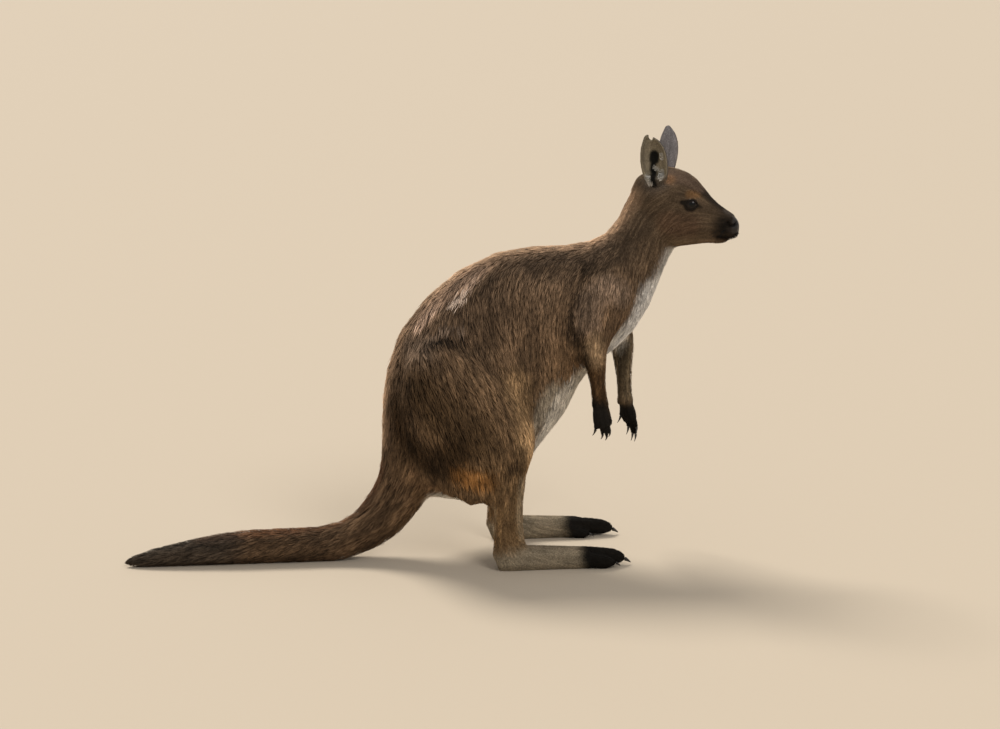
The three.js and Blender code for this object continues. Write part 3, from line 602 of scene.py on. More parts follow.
# Rows: path, full within, gone beyond (metres), colour, strength. A path on the left is mirrored to the
# right, and one on the right stays there.
BODY_MARKS = [
    # Tan along the spine: partly the coat's own tan, partly a painted highlight where the back's upper edge
    # is lit.
    (RIDGE, 0.008, 0.058, (0.580, 0.375, 0.235), 0.80),
    (TAIL_TOP, 0.010, 0.035, (0.180, 0.078, 0.036), 0.70),
    ([(0.02, 0.075, 0.56), (0.10, 0.07, 0.620), (0.18, 0.07, 0.648), (0.27, 0.065, 0.660)], 0.006, 0.030,
     (0.050, 0.032, 0.019), 0.30),
    ([(0.40, 0.088, 0.59), (0.37, 0.10, 0.61), (0.335, 0.103, 0.575), (0.33, 0.108, 0.53)], 0.012, 0.044,
     (0.330, 0.232, 0.165), 0.70),
    # Grey-tan fur on top of the rump, made lighter partly by painted light from above.
    ([(-0.06, 0.085, 0.49), (-0.02, 0.10, 0.47)], 0.018, 0.060, (0.230, 0.165, 0.120), 0.60),
    # Painted shade: a dark line in the crease where the arm meets the flank.
    (ARMPIT, 0.003, 0.012, (0.024, 0.015, 0.008), 0.85),
    ([(0.389, 0.034, 0.70), (0.366, 0.045, 0.683), (0.349, 0.071, 0.65)], 0.008, 0.028,
     (0.044, 0.030, 0.020), 0.60),
    ([(0.46, 0.05, 0.742), (0.43, 0.05, 0.715), (0.418, 0.06, 0.673)], 0.012, 0.040,
     (0.066, 0.046, 0.030), 0.60),
    (SHOULDER_BLADE, 0.005, 0.016, (0.020, 0.013, 0.007), 0.85),
    # Painted shade: the crease's dark line runs on down behind the arm.
    ([(0.297, 0.105, 0.511), (0.318, 0.098, 0.481), (0.325, 0.095, 0.445)], 0.006, 0.026,
     (0.030, 0.018, 0.009), 0.80),
    # A painted highlight on the fur just above the thigh's crease.
    ([(-0.01, 0.10, 0.512), (0.03, 0.095, 0.522), (0.06, 0.10, 0.516)], 0.004, 0.016,
     (0.340, 0.250, 0.190), 0.60),
    ([(0.06, 0.115, 0.487), (0.12, 0.122, 0.468)], 0.004, 0.015, (0.300, 0.215, 0.140), 0.25),
    # Painted shade: a near-black line in the crease over the thigh.
    (THIGH_TOP, 0.004, 0.013, (0.010, 0.007, 0.004), 0.97),
    ([(-0.03, 0.14, 0.40), (0.03, 0.15, 0.34), (0.08, 0.16, 0.30)], 0.020, 0.080,
     (0.036, 0.021, 0.009), 0.74),
    ([(-0.07, 0.08, 0.34), (-0.06, 0.09, 0.29), (-0.01, 0.13, 0.24), (0.04, 0.15, 0.26)], 0.018, 0.056,
     (0.030, 0.016, 0.006), 0.80),
    ([(0.178, 0.13, 0.41), (0.195, 0.135, 0.36), (0.205, 0.14, 0.27)], 0.010, 0.044,
     (0.470, 0.300, 0.155), 0.80),
    ([(0.055, 0.147, 0.209), (0.108, 0.15, 0.198)], 0.006, 0.038, (0.360, 0.160, 0.042), 0.72),
    ([(0.160, 0.15, 0.222), (0.172, 0.15, 0.232)], 0.004, 0.022, (0.030, 0.018, 0.010), 0.75),
    ([(0.190, 0.138, 0.20), (0.183, 0.132, 0.12), (0.190, 0.128, 0.075)], 0.004, 0.017,
     (0.440, 0.335, 0.215), 0.70),
    ([(0.150, 0.145, 0.205), (0.154, 0.140, 0.13), (0.150, 0.13, 0.085)], 0.002, 0.011,
     (0.120, 0.076, 0.042), 0.45),
    ([(0.130, 0.12, 0.15), (0.130, 0.12, 0.08)], 0.003, 0.012, (0.360, 0.270, 0.170), 0.50),
    ([(0.22, 0.125, 0.062), (0.30, 0.13, 0.058), (0.34, 0.13, 0.052)], 0.005, 0.020,
     (0.150, 0.095, 0.070), 0.55),
    ([(0.262, 0.099, 0.378), (0.246, 0.096, 0.351), (0.234, 0.091, 0.318)], 0.012, 0.038,
     (0.360, 0.310, 0.240), 0.85),
    ([(0.361, 0.094, 0.400), (0.362, 0.094, 0.355)], 0.016, 0.060, (0.080, 0.044, 0.020), 0.75),
    ([(0.346, 0.112, 0.490), (0.350, 0.110, 0.455)], 0.006, 0.034, (0.420, 0.285, 0.165), 0.70),
    ([(0.352, -0.106, 0.332), (0.362, -0.106, 0.300)], 0.020, 0.050, (0.009, 0.007, 0.005), 0.97),
    ([(0.445, 0.087, 0.44), (0.449, 0.086, 0.35)], 0.022, 0.050, (0.140, 0.108, 0.068), 0.85),
    ([(0.428, 0.060, 0.46), (0.440, 0.060, 0.40)], 0.010, 0.022, (0.028, 0.021, 0.013), 0.75),
    ([(0.300, 0.078, 0.390), (0.272, 0.086, 0.352), (0.254, 0.070, 0.305)], 0.006, 0.024,
     (0.800, 0.740, 0.650), 0.85),
    (BELLY, 0.062, 0.092, (0.830, 0.770, 0.680), 0.95),
    (THROAT, 0.030, 0.050, (0.860, 0.830, 0.790), 0.98),
    (CHEST, 0.050, 0.074, (0.930, 0.900, 0.870), 0.98),
    # Right flank only: a light tan band beside the spine, a painted highlight of the lit back.
    ([(0.10, -0.036, 0.642), (0.03, -0.045, 0.590), (-0.03, -0.046, 0.535)], 0.010, 0.038,
     (0.480, 0.320, 0.225), 0.55),
    # Painted light on the ruffled coat: painted shadow under it, its pale tips brightened by a painted
    # highlight that is palest at the lower end, and a painted highlight along the lower ruffle where the back
    # turns.
    (RUFFLE_SHADE, 0.003, 0.011, (0.026, 0.017, 0.010), 0.85),
    (RUFFLE, 0.005, 0.016, (0.560, 0.390, 0.290), 0.75),
    (RUFFLE_HIGHLIGHT, 0.006, 0.014, (0.980, 0.770, 0.630), 0.97),
    (RUFFLE_LOW, 0.003, 0.014, (0.720, 0.510, 0.390), 0.80),
    ([(-0.47, 0, 0.05), (-0.63, 0, 0.04)], 0.030, 0.090, (0.048, 0.043, 0.036), 0.65),
]
HEAD_MARKS = [
    ([(0.195, 0.0, 0.735), (0.165, 0.012, 0.735)], 0.012, 0.046, (0.022, 0.017, 0.013), 0.97),
    ([(0.185, 0.0, 0.752), (0.14, 0.0, 0.785), (0.118, 0.006, 0.808)], 0.008, 0.026,
     (0.030, 0.022, 0.017), 0.88),
    # A painted sheen: a light grey-brown band along the top of the dark nose.
    ([(0.184, 0.004, 0.759), (0.166, 0.008, 0.768)], 0.003, 0.013, (0.150, 0.120, 0.100), 0.70),
    ([(0.182, 0.016, 0.725), (0.172, 0.020, 0.728)], 0.002, 0.010, (0.060, 0.046, 0.038), 0.70),
    ([(0.192, 0.0, 0.714), (0.172, 0.014, 0.704), (0.154, 0.019, 0.706)], 0.006, 0.016,
     (0.014, 0.010, 0.008), 0.95),
    ([(0.077, 0.049, 0.786), (0.088, 0.047, 0.785), (0.117, 0.041, 0.779)], 0.0025, 0.009,
     (0.020, 0.015, 0.011), 0.95),
    ([(0.094, 0.047, 0.781)], 0.0125, 0.0175, (0.020, 0.015, 0.011), 0.95),
    ([(0.112, 0.034, 0.806), (0.092, 0.042, 0.804)], 0.006, 0.015, (0.280, 0.150, 0.065), 0.75),
    ([(0.165, 0.010, 0.700), (0.130, 0.014, 0.697)], 0.004, 0.012, (0.060, 0.035, 0.022), 0.70),
    # Painted rim light: a light tan band along the lower edge of the jaw.
    ([(0.15, 0.012, 0.695), (0.10, 0.022, 0.693), (0.07, 0.03, 0.690)], 0.007, 0.017,
     (0.250, 0.165, 0.095), 0.45),
    ([(0.04, 0.03, 0.845), (0.08, 0.02, 0.84), (0.104, 0.014, 0.826)], 0.014, 0.030,
     (0.210, 0.140, 0.100), 0.65),
    ([(0.034, 0.036, 0.836), (0.046, 0.034, 0.834)], 0.004, 0.018, (0.360, 0.200, 0.100), 0.70),
    ([(0.09, 0.05, 0.735), (0.05, 0.055, 0.74)], 0.012, 0.040, (0.140, 0.080, 0.050), 0.60),
]
TOE_BLACK = (0.008, 0.006, 0.004)


def paint(colours, amount, colour):
    return colours + (np.array(colour) - colours) * amount[:, None]


def body_mask(points, path, core, gone):
    return mask(points if path[0][1] < 0 else on_left(points), path, core, gone)


def mark(points, colours):
    """Lays every marking over the base colours."""
    in_head = on_left(to_head(points))
    for path, core, gone, colour, strength in BODY_MARKS:
        colours = paint(colours, body_mask(points, path, core, gone) * strength, colour)
    for path, core, gone, colour, strength in HEAD_MARKS:
        colours = paint(colours, mask(in_head, path, core, gone) * strength, colour)
    toes_from = 0.294 + 0.35 * np.abs(points[:, 2] - 0.030)  # further forward on top and at the sole
    toes = ramp(toes_from, toes_from + 0.036, points[:, 0]) * ramp(0.09, 0.07, points[:, 2])
    return paint(colours, toes, TOE_BLACK)


base = relax(np.array([BASE[k] for k in KINDS])[part], around, 45, np.where(is_ear, 0.15, 1))
skin_colours = mark(outer, base)

# %% Ears, lids and nose
# An ear has grey-brown hair, painted shade as a black pit deep inside its cup, white tufts at the cup's
# edges and a grey-mauve back.
EAR_INSIDE, EAR_BACK, EAR_RIM = (0.270, 0.230, 0.165), (0.250, 0.232, 0.238), (0.050, 0.034, 0.024)
PIT_SHADE, EAR_ROOT_BROWN = (0.006, 0.006, 0.005), (0.060, 0.045, 0.030)
LID_BLACK, NOSE_BLACK, NOSTRIL_SHADE = (0.012, 0.009, 0.008), (0.030, 0.026, 0.025), (0.003, 0.002, 0.002)
# Paths over the cup seen from the side, x and z of the head's frame, with full within and gone beyond.
EAR_PITS = [
    ([(0.0145, 0.884), (0.0135, 0.874)], 0.007, 0.014),
    ([(0.012, 0.872), (0.010, 0.852)], 0.003, 0.009),
    ([(0.011, 0.850), (0.0155, 0.818)], 0.0035, 0.009),
]
EAR_TUFTS = [
    ([(0.0325, 0.888), (0.0335, 0.878)], 0.001, 0.004),
    ([(0.0165, 0.857), (0.0215, 0.854)], 0.0015, 0.0055),
    ([(0.0305, 0.851), (0.0320, 0.838)], 0.002, 0.0065),
    ([(-0.0030, 0.838), (0.0050, 0.824)], 0.002, 0.0065),
]
TUFT_WHITE = (0.95, 0.93, 0.88)
head_points = to_head(points)
head_normals = to_head(normals + [HEAD_PIVOT, 0, 0])
out_of_cup = head_normals[:, 1] * np.sign(head_points[:, 1])
ear_side = head_points[:, [0, 2]]
ear_root = ramp(*EAR_ROOT, points[:, 2]) * is_ear
inside_ear = ramp(0.0, 0.35, out_of_cup) * is_ear
near_ear = ramp(0.3, 0.7, relax(is_ear.astype(float), around, 8)) * (head_points[:, 2] > 0.80)
ear_pit = np.max([mask(ear_side, *row) for row in EAR_PITS], axis=0)
tuft = np.max([mask(ear_side, *row) for row in EAR_TUFTS], axis=0) * near_ear * ramp(-0.2, 0.2, out_of_cup)
skin_colours = paint(skin_colours, is_ear * (1 - ear_root) * 0.9, EAR_BACK)
skin_colours = paint(skin_colours, inside_ear * (1 - 0.9 * ear_root), EAR_INSIDE)
skin_colours = paint(skin_colours, ear_root * 0.6, EAR_ROOT_BROWN)
# Painted shade: the pit deep in the ear's cup is painted black.
skin_colours = paint(skin_colours, near_ear * ramp(-0.2, 0.2, out_of_cup) * ear_pit, PIT_SHADE)
skin_colours = paint(skin_colours, is_ear * np.exp(-((out_of_cup / 0.3) ** 2)) * 0.7, EAR_RIM)
skin_colours = paint(skin_colours, tuft * 0.3, TUFT_WHITE)
skin_colours = paint(skin_colours, lid_rim, LID_BLACK)
skin_colours = paint(skin_colours, nose_pad * 0.8, NOSE_BLACK)
# Painted shade: the inside of each nostril's dent is painted near black.
skin_colours = paint(skin_colours, np.exp(-((nostril_far / 0.0032) ** 2)), NOSTRIL_SHADE)
bare = np.clip(np.maximum(nose_pad, lid_rim) + on_floor, 0, 1)
print("mean colour of the skin:", np.round(skin_colours.mean(0), 3))


# %% [markdown]
# ## Fur and horn finishes
# One node group gives the fur its broken colour: broad mottling, fine grizzle and a change from a dark
# root, partly painted shade deep in the coat, to a lighter tip with a dusky point. The skin and every lock
# use it, so they match.

# %% Node helpers
def link_nodes(tree, source, target):
    tree.links.new(source, target)


def add_node(tree, kind, **values):
    node = tree.nodes.new(kind)
    for key, value in values.items():
        setattr(node, key, value)
    return node


def add_noise(tree, vector, scale, detail=3.0):
    noise = add_node(tree, "ShaderNodeTexNoise")
    noise.inputs["Scale"].default_value = scale
    noise.inputs["Detail"].default_value = detail
    link_nodes(tree, vector, noise.inputs["Vector"])
    return noise.outputs["Fac"]


def add_range(tree, value, low, high, new_low, new_high):
    node = add_node(tree, "ShaderNodeMapRange")
    for key, number in zip(("From Min", "From Max", "To Min", "To Max"), (low, high, new_low, new_high)):
        node.inputs[key].default_value = number
    link_nodes(tree, value, node.inputs["Value"])
    return node.outputs["Result"]


def multiply(tree, a, b):
    node = add_node(tree, "ShaderNodeMath", operation="MULTIPLY")
    link_nodes(tree, a, node.inputs[0])
    link_nodes(tree, b, node.inputs[1])
    return node.outputs[0]


def scale_colour(tree, colour, amount):
    node = add_node(tree, "ShaderNodeVectorMath", operation="SCALE")
    link_nodes(tree, colour, node.inputs[0])
    link_nodes(tree, amount, node.inputs["Scale"])
    return node.outputs["Vector"]


# %% Broken fur colour
fur_group = bpy.data.node_groups.new("fur_colour", "ShaderNodeTree")
SOCKETS = {
    "INPUT": (("Marking", "NodeSocketColor"), ("Reach", "NodeSocketFloat"), ("Tone", "NodeSocketFloat")),
    "OUTPUT": (("Colour", "NodeSocketColor"), ("Roughness", "NodeSocketFloat")),
}
for way_through, sockets in SOCKETS.items():
    for name, kind in sockets:
        fur_group.interface.new_socket(name, in_out=way_through, socket_type=kind)
entry = add_node(fur_group, "NodeGroupInput")
leave = add_node(fur_group, "NodeGroupOutput")
where = add_node(fur_group, "ShaderNodeTexCoord").outputs["Object"]
mottle = add_range(fur_group, add_noise(fur_group, where, 26.0), 0.3, 0.7, 0.80, 1.20)
grizzle = add_range(fur_group, add_noise(fur_group, where, 420.0, 2.0), 0.3, 0.7, 0.78, 1.24)
along_lock = add_node(fur_group, "ShaderNodeFloatCurve")
# The dark root is partly painted shade deep in the coat; the lighter band and the dusky point are the hair's
# own banding.
for place, value in ((0.0, 0.30), (0.35, 0.62), (0.75, 1.0), (1.0, 0.78)):
    curve = along_lock.mapping.curves[0]
    match = [p for p in curve.points if abs(p.location[0] - place) < 1e-6]
    if match:
        match[0].location = (place, value)
    else:
        curve.points.new(place, value)
along_lock.mapping.update()
link_nodes(fur_group, entry.outputs["Reach"], along_lock.inputs["Value"])
strength = multiply(fur_group, multiply(fur_group, mottle, grizzle), along_lock.outputs["Value"])
strength = multiply(fur_group, strength, entry.outputs["Tone"])
link_nodes(fur_group, scale_colour(fur_group, entry.outputs["Marking"], strength), leave.inputs["Colour"])
link_nodes(fur_group, add_range(fur_group, grizzle, 0.78, 1.24, 0.92, 0.70), leave.inputs["Roughness"])


def add_attribute(tree, name, output="Fac"):
    return add_node(tree, "ShaderNodeAttribute", attribute_name=name).outputs[output]


# %% Coat and skin materials
def new_material(name):
    material = bpy.data.materials.new(name)
    material.use_nodes = True
    return material, material.node_tree, material.node_tree.nodes["Principled BSDF"]


def add_fur_group(tree, shader):
    group = add_node(tree, "ShaderNodeGroup", node_tree=fur_group)
    link_nodes(tree, add_attribute(tree, "marking", "Color"), group.inputs["Marking"])
    link_nodes(tree, add_attribute(tree, "reach"), group.inputs["Reach"])
    link_nodes(tree, add_attribute(tree, "tone"), group.inputs["Tone"])
    link_nodes(tree, group.outputs["Colour"], shader.inputs["Base Color"])
    return group


coat_material, tree, shader = new_material("coat_fur")
group = add_fur_group(tree, shader)
link_nodes(tree, group.outputs["Roughness"], shader.inputs["Roughness"])
shader.inputs["Specular IOR Level"].default_value = 0.12

skin_material, tree, shader = new_material("skin_fur")
add_fur_group(tree, shader)
bare_mask = add_attribute(tree, "bare")
wet = add_range(tree, bare_mask, 0.0, 1.0, 0.88, 0.36)
link_nodes(tree, wet, shader.inputs["Roughness"])
stretch = add_node(tree, "ShaderNodeMapping")
stretch.inputs["Scale"].default_value = (260, 700, 500)
link_nodes(tree, add_node(tree, "ShaderNodeTexCoord").outputs["Object"], stretch.inputs["Vector"])
bump = add_node(tree, "ShaderNodeBump")
bump.inputs["Strength"].default_value = 0.5
bump.inputs["Distance"].default_value = 0.0008
link_nodes(tree, add_noise(tree, stretch.outputs["Vector"], 1.0, 2.0), bump.inputs["Height"])
link_nodes(tree, bump.outputs["Normal"], shader.inputs["Normal"])
shader.inputs["Specular IOR Level"].default_value = 0.2


# %% Give the skin its finish
def add_float(mesh, name, values, domain="POINT"):
    mesh.attributes.new(name, "FLOAT", domain).data.foreach_set("value", np.asarray(values, np.float32))


def add_colour(mesh, name, values):
    colours = np.concatenate([values, np.ones((len(values), 1))], 1).astype(np.float32)
    mesh.attributes.new(name, "FLOAT_COLOR", "POINT").data.foreach_set("color", colours.ravel())


add_colour(skin.data, "marking", skin_colours)
add_float(skin.data, "reach", np.full(len(points), 0.45))
add_float(skin.data, "tone", np.ones(len(points)))
add_float(skin.data, "bare", bare)
skin.data.polygons.foreach_set("use_smooth", np.ones(len(skin.data.polygons), bool))
skin.data.materials.clear()
skin.data.materials.append(skin_material)
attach(skin, "root")
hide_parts(*FLESH)

# %% [markdown]
# ## The coat
# Hair is far too fine to model one by one at this size, so it grows in locks: closed slivers with a
# ridge, broad at the root and pointed at the tip. Roots are scattered over the skin, close where the fur
# is short. Each lock bends to follow the skin below it, leans towards its clump's tip, and rises so that
# the tips meet the frame's faces. A few stand out from the rest, and tips drop into the folds. A lock's
# colour is read where other locks leave it bare. The locks are dealt out over eight pieces, each over the
# whole body.

# %% The skin as a bed for roots
# Rows: path, full within, gone beyond (metres), how many times longer and higher the coat grows there.
SHAGGY = [
    (THIGH_TOP, 0.003, 0.013, 0.8, 0.35),
    ([(-0.02, 0.105, 0.506), (0.02, 0.095, 0.518), (0.055, 0.10, 0.515)], 0.006, 0.016, 1.25, 1.6),
    (RUFFLE, 0.006, 0.016, 1.0, 2.0),
    (RUFFLE_LOW, 0.004, 0.014, 1.0, 1.5),
    (RUFFLE_SHADE, 0.003, 0.010, 0.8, 0.5),
    (ARMPIT, 0.003, 0.011, 0.8, 0.45),
    (SHOULDER_BLADE, 0.006, 0.014, 0.8, 0.45),
    ([(0.345, 0.075, 0.66), (0.350, 0.085, 0.635)], 0.006, 0.016, 1.1, 1.4),
    ([(0.478, 0.02, 0.61), (0.44, 0.02, 0.53), (0.40, 0.03, 0.47)], 0.020, 0.050, 1.3, 1.15),
    ([(0.40, 0.04, 0.47), (0.31, 0.05, 0.375), (0.255, 0.05, 0.30)], 0.015, 0.045, 1.4, 1.3),
    ([(0.06, 0.14, 0.213), (0.12, 0.14, 0.204)], 0.010, 0.032, 1.7, 1.4),
    ([(-0.09, 0.02, 0.185), (-0.14, 0.02, 0.135)], 0.015, 0.040, 1.5, 1.2),
]
bed_triangles = read_triangles(skin.data)
bed_tree = BVHTree.FromPolygons(points.tolist(), bed_triangles.tolist(), all_triangles=True)
_, _, gap = nearest(flesh_tree, points)
cover = relax(np.clip(gap, 0.0003, 0.016), around, 4)
length = relax(growth(LENGTH)[part], around, 30) / 1000
width = relax(growth(WIDTH)[part], around, 30) / 1000
overlap = relax(growth(OVERLAP)[part], around, 12)
for path, core, gone, longer, higher in SHAGGY:
    amount = body_mask(outer, path, core, gone)
    length = length * (1 + (longer - 1) * amount)
    cover = cover * (1 + (higher - 1) * amount)
# The coat is short and fine on the muzzle and around the eyes.
face_lip = ramp(0.125, 0.165, head_points[:, 0]) * is_head
eye_far = np.min([np.linalg.norm(head_points - EYE_PLACE * [1, MIRROR[s], 1], axis=1) for s in SIDES], axis=0)
short = 1 - 0.55 * face_lip - 0.5 * ramp(0.030, 0.018, eye_far)
length, width = length * short, width * (1 - 0.35 * (1 - short))
length = length * (1 + ear_root)
TUFT_LENGTH = 0.012
# Tufts sweep over the cup: those at its rear edge forward, those at its front edge back.
toward = 1 - 2 * ramp(0.008, 0.014, ear_side[:, 0])
tuft_way = turn_head(np.stack([0.75 * toward, np.zeros(len(points)), np.full(len(points), -0.5)], 1))
lie = lie + (tuft_way - lie) * np.clip(tuft * 2, 0, 1)[:, None]
lie = unit(lie - smooth_normals * (lie * smooth_normals).sum(1, keepdims=True))
length = length + (TUFT_LENGTH - length) * tuft
cover = cover + 0.004 * tuft
# Nothing grows on bare skin or over the eye's ball, less inside the ear's cup and more in its tufts.
growing = (1 - np.clip(bare * 1.5, 0, 1)) * ~eye_hole * (1 - inside_ear * 0.4) * (1 + 1.2 * tuft)
print("cover, mm:", round(np.median(cover) * 1000, 2), "at most", round(cover.max() * 1000, 2))

# %% Streaks along the lie
# Locks bunch into long streaks, light on their crests and dark between: partly the fur's own uneven tone,
# partly painted highlight on the raised crests and painted shade in the gaps. A streak is cloudy noise
# averaged along the lie: broad ones over the whole skin, fine ones at each lock.
LATTICE = chance.random((32, 32, 32))
BROAD_SIZE, BROAD_STEP, BROAD_STEPS = 0.0085, 0.008, 7
FINE_SIZE, FINE_REACH, FINE_STEPS = 0.0034, 0.024, 17


def cloud(places, size):
    """Smooth random values with blobs of a size in metres."""
    cell = places / size
    corner = np.floor(cell).astype(int)
    way_in = cell - corner
    way_in = way_in * way_in * (3 - 2 * way_in)
    total = np.zeros(len(places))
    for offset in np.ndindex(2, 2, 2):
        weight = np.where(offset, way_in, 1 - way_in).prod(axis=1)
        total += weight * LATTICE[tuple(((corner + offset) % 32).T)]
    return total


def step(start, way, distance):
    """A place on the skin one step along the lie, with its normal and the lie there."""
    place, face, _ = nearest(bed_tree, start + way * distance[:, None])
    normal = unit(smooth_normals[bed_triangles[face]].mean(1))
    return place, normal, unit(lie[bed_triangles[face]].mean(1))


def even(values):
    """Values shifted and scaled to a mean of 0 and a spread of 1, with no far outliers."""
    return np.clip((values - values.mean()) / values.std(), -2, 2)


broad = cloud(points, BROAD_SIZE)
for turn in (1, -1):
    place, heading = points, lie * turn
    for _ in range(BROAD_STEPS):
        place, _, next_way = step(place, heading, np.full(len(points), BROAD_STEP))
        heading = next_way * turn
        broad += cloud(place, BROAD_SIZE)
broad = even(broad)

# %% Scatter the roots
LOCKS_MOST = 148000
corners = points[bed_triangles]
face_area = np.linalg.norm(np.cross(corners[:, 1] - corners[:, 0], corners[:, 2] - corners[:, 0]), axis=1) / 2
patch = (overlap * growing / (length * width / 2))[bed_triangles].mean(1) * face_area
wanted = patch.sum()
patch = patch * min(1, LOCKS_MOST / wanted)
# Each face gets its share of locks, rounded up or down by chance.
number = np.floor(patch + chance.random(len(patch))).astype(int)
root_face = np.repeat(np.arange(len(patch)), number)
chance.shuffle(root_face)
share = chance.random((len(root_face), 2))
share = np.where(share.sum(1, keepdims=True) > 1, 1 - share, share)
weights = np.column_stack([1 - share.sum(1), share])


def on_bed(values):
    """A skin value at the roots."""
    picked = values[bed_triangles[root_face]]
    return (picked * (weights if values.ndim == 1 else weights[:, :, None])).sum(1)


locks = len(root_face)
print("locks wanted", int(wanted), "and grown", locks)

# %% Bend each lock over the skin
STRAY = 0.08  # how far a lock turns from the lie, in radians
root = on_bed(points)
up = unit(on_bed(smooth_normals))
way = unit(on_bed(lie))
across = unit(np.cross(up, way))
ruffled = 1 + 1.5 * on_bed(body_mask(outer, RUFFLE, 0.006, 0.018)) + 2 * on_bed(tuft)
stray = np.clip(chance.normal(0, STRAY, locks) * ruffled, -0.6, 0.6)
way = unit(way + across * stray[:, None])
broad_here = on_bed(broad)
lock_length = on_bed(length) * chance.uniform(0.75, 1.2, locks)
lock_width = on_bed(width) * chance.uniform(0.75, 1.25, locks)
lift = on_bed(cover) * chance.uniform(0.6, 1.0, locks) * (1 + 0.16 * broad_here)
WILD_SHARE, WILD_RISE = 0.04, 1.4  # a few locks stand out from the rest
lift = lift * np.where(chance.random(locks) < WILD_SHARE, WILD_RISE, 1)
MIDDLE = 0.48  # how far along the lock its bend is
MIDDLE_RISE = 0.78  # the bend's height against the tip's
mid_foot, mid_up, mid_way = step(root, way, lock_length * MIDDLE)
mid_way = unit(mid_way + (way - unit(on_bed(lie))))
tip_foot, tip_up, _ = step(mid_foot, mid_way, lock_length * (1 - MIDDLE))
middle = mid_foot + mid_up * (lift * MIDDLE_RISE)[:, None]
tip = tip_foot + tip_up * lift[:, None]
FOLD_DROP = 0.85  # share of a lock's rise lost where its tip lies in a fold
folded = np.max([mask(on_left(tip), path, 0.002, 0.013) for path in (THIGH_TOP, ARMPIT)], axis=0)
tip = tip - tip_up * (lift * FOLD_DROP * folded)[:, None]

# %% Draw the tips together in clumps
CLUMP_EACH = 14  # locks to a clump
TIP_PULL, MIDDLE_PULL = 0.8, 0.3  # how much of the pull reaches the tip and the bend
clump_seed = np.arange(0, locks, CLUMP_EACH)
tree_of_seeds = KDTree(len(clump_seed))
for i, lock in enumerate(clump_seed):
    tree_of_seeds.insert(root[lock], i)
tree_of_seeds.balance()
found = [tree_of_seeds.find(p) for p in root.tolist()]
clump = clump_seed[np.array([f[1] for f in found])]
near_clump = np.array([f[2] for f in found]) < lock_length * 0.8
pull = np.where(near_clump, chance.uniform(0.2, 0.65, locks), 0) * ramp(0.004, 0.012, on_bed(length))
tip = tip + (tip[clump] - tip) * (pull * TIP_PULL)[:, None]
middle = middle + (middle[clump] - middle) * (pull * MIDDLE_PULL)[:, None]

# %% The lock's own shape
# Its root cap is one plain triangle: a fan would add two triangles of no area to every lock.
lock_shape = bmesh.new()
bmesh.ops.create_cone(lock_shape, cap_ends=True, cap_tris=False, segments=3, radius1=1, radius2=0, depth=1)
bmesh.ops.bisect_plane(
    lock_shape, geom=lock_shape.verts[:] + lock_shape.edges[:] + lock_shape.faces[:],
    plane_co=(0, 0, MIDDLE - 0.5), plane_no=(0, 0, 1),
)
bmesh.ops.triangulate(lock_shape, faces=lock_shape.faces)
bmesh.ops.recalc_face_normals(lock_shape, faces=lock_shape.faces)
lock_shape.verts.index_update()
shape_points = np.array([v.co[:] for v in lock_shape.verts])
shape_faces = np.array([[v.index for v in f.verts] for f in lock_shape.faces])
lock_shape.free()
reach = np.round(shape_points[:, 2] + 0.5, 3)  # 0 at the root, 1 at the tip
level = np.where(reach > 0.9, 2, np.where(reach > 0.1, 1, 0))  # 0 root, 1 middle, 2 tip
angle = np.arctan2(shape_points[:, 0], shape_points[:, 1])
ring_wide = np.array([1.0, 0.86, 0])[level] * np.sin(angle) / 1.732 * 2
ring_high = np.array([1.0, 1.0, 0])[level] * np.cos(angle)
print("a lock has", len(shape_points), "points and", len(shape_faces), "triangles")

# %% Colour the locks
SPREAD = 0.004  # how far a lock's colour may stray from its place
SHOWN = 0.55  # the middle of what other locks leave bare, from the bend to the tip
shown = middle + (tip - middle) * SHOWN
strayed = shown + chance.normal(0, SPREAD, (locks, 3)) * on_bed(ramp(0.003, 0.02, length))[:, None]
lock_colours = mark(strayed, on_bed(base))
ear_share = on_bed(is_ear.astype(float))
lock_colours = lock_colours + (on_bed(skin_colours) - lock_colours) * ear_share[:, None]
lock_colours = paint(lock_colours, ramp(0.10, 0.45, on_bed(tuft)) * chance.uniform(0.5, 1, locks), TUFT_WHITE)
fine_places = np.linspace(-FINE_REACH, FINE_REACH, FINE_STEPS)
fine = even(sum(cloud(root + unit(on_bed(lie)) * place, FINE_SIZE) for place in fine_places))
long_coat = on_bed(ramp(0.006, 0.018, length))
# Broad streaks: raised crests lighter and the gaps darker, partly the fur's own tone and partly painted
# highlight and shade.
tone = (0.19 + 0.07 * long_coat) * fine + 0.37 * broad_here * long_coat
pale = ramp(0.40, 0.75, lock_colours.mean(1))
tone = tone * (1 - 0.6 * pale) + chance.normal(0, 1, locks) * (0.12 - 0.03 * long_coat + 0.10 * ear_share)
tone = np.clip(np.exp(tone), 0.4, 2.1)

# %% [markdown]
# Each lock needs its own small patch of texture space when the model is baked. The skin is unwrapped by
# its own shape, and a lock's patch lies at its root's place on that unwrap.

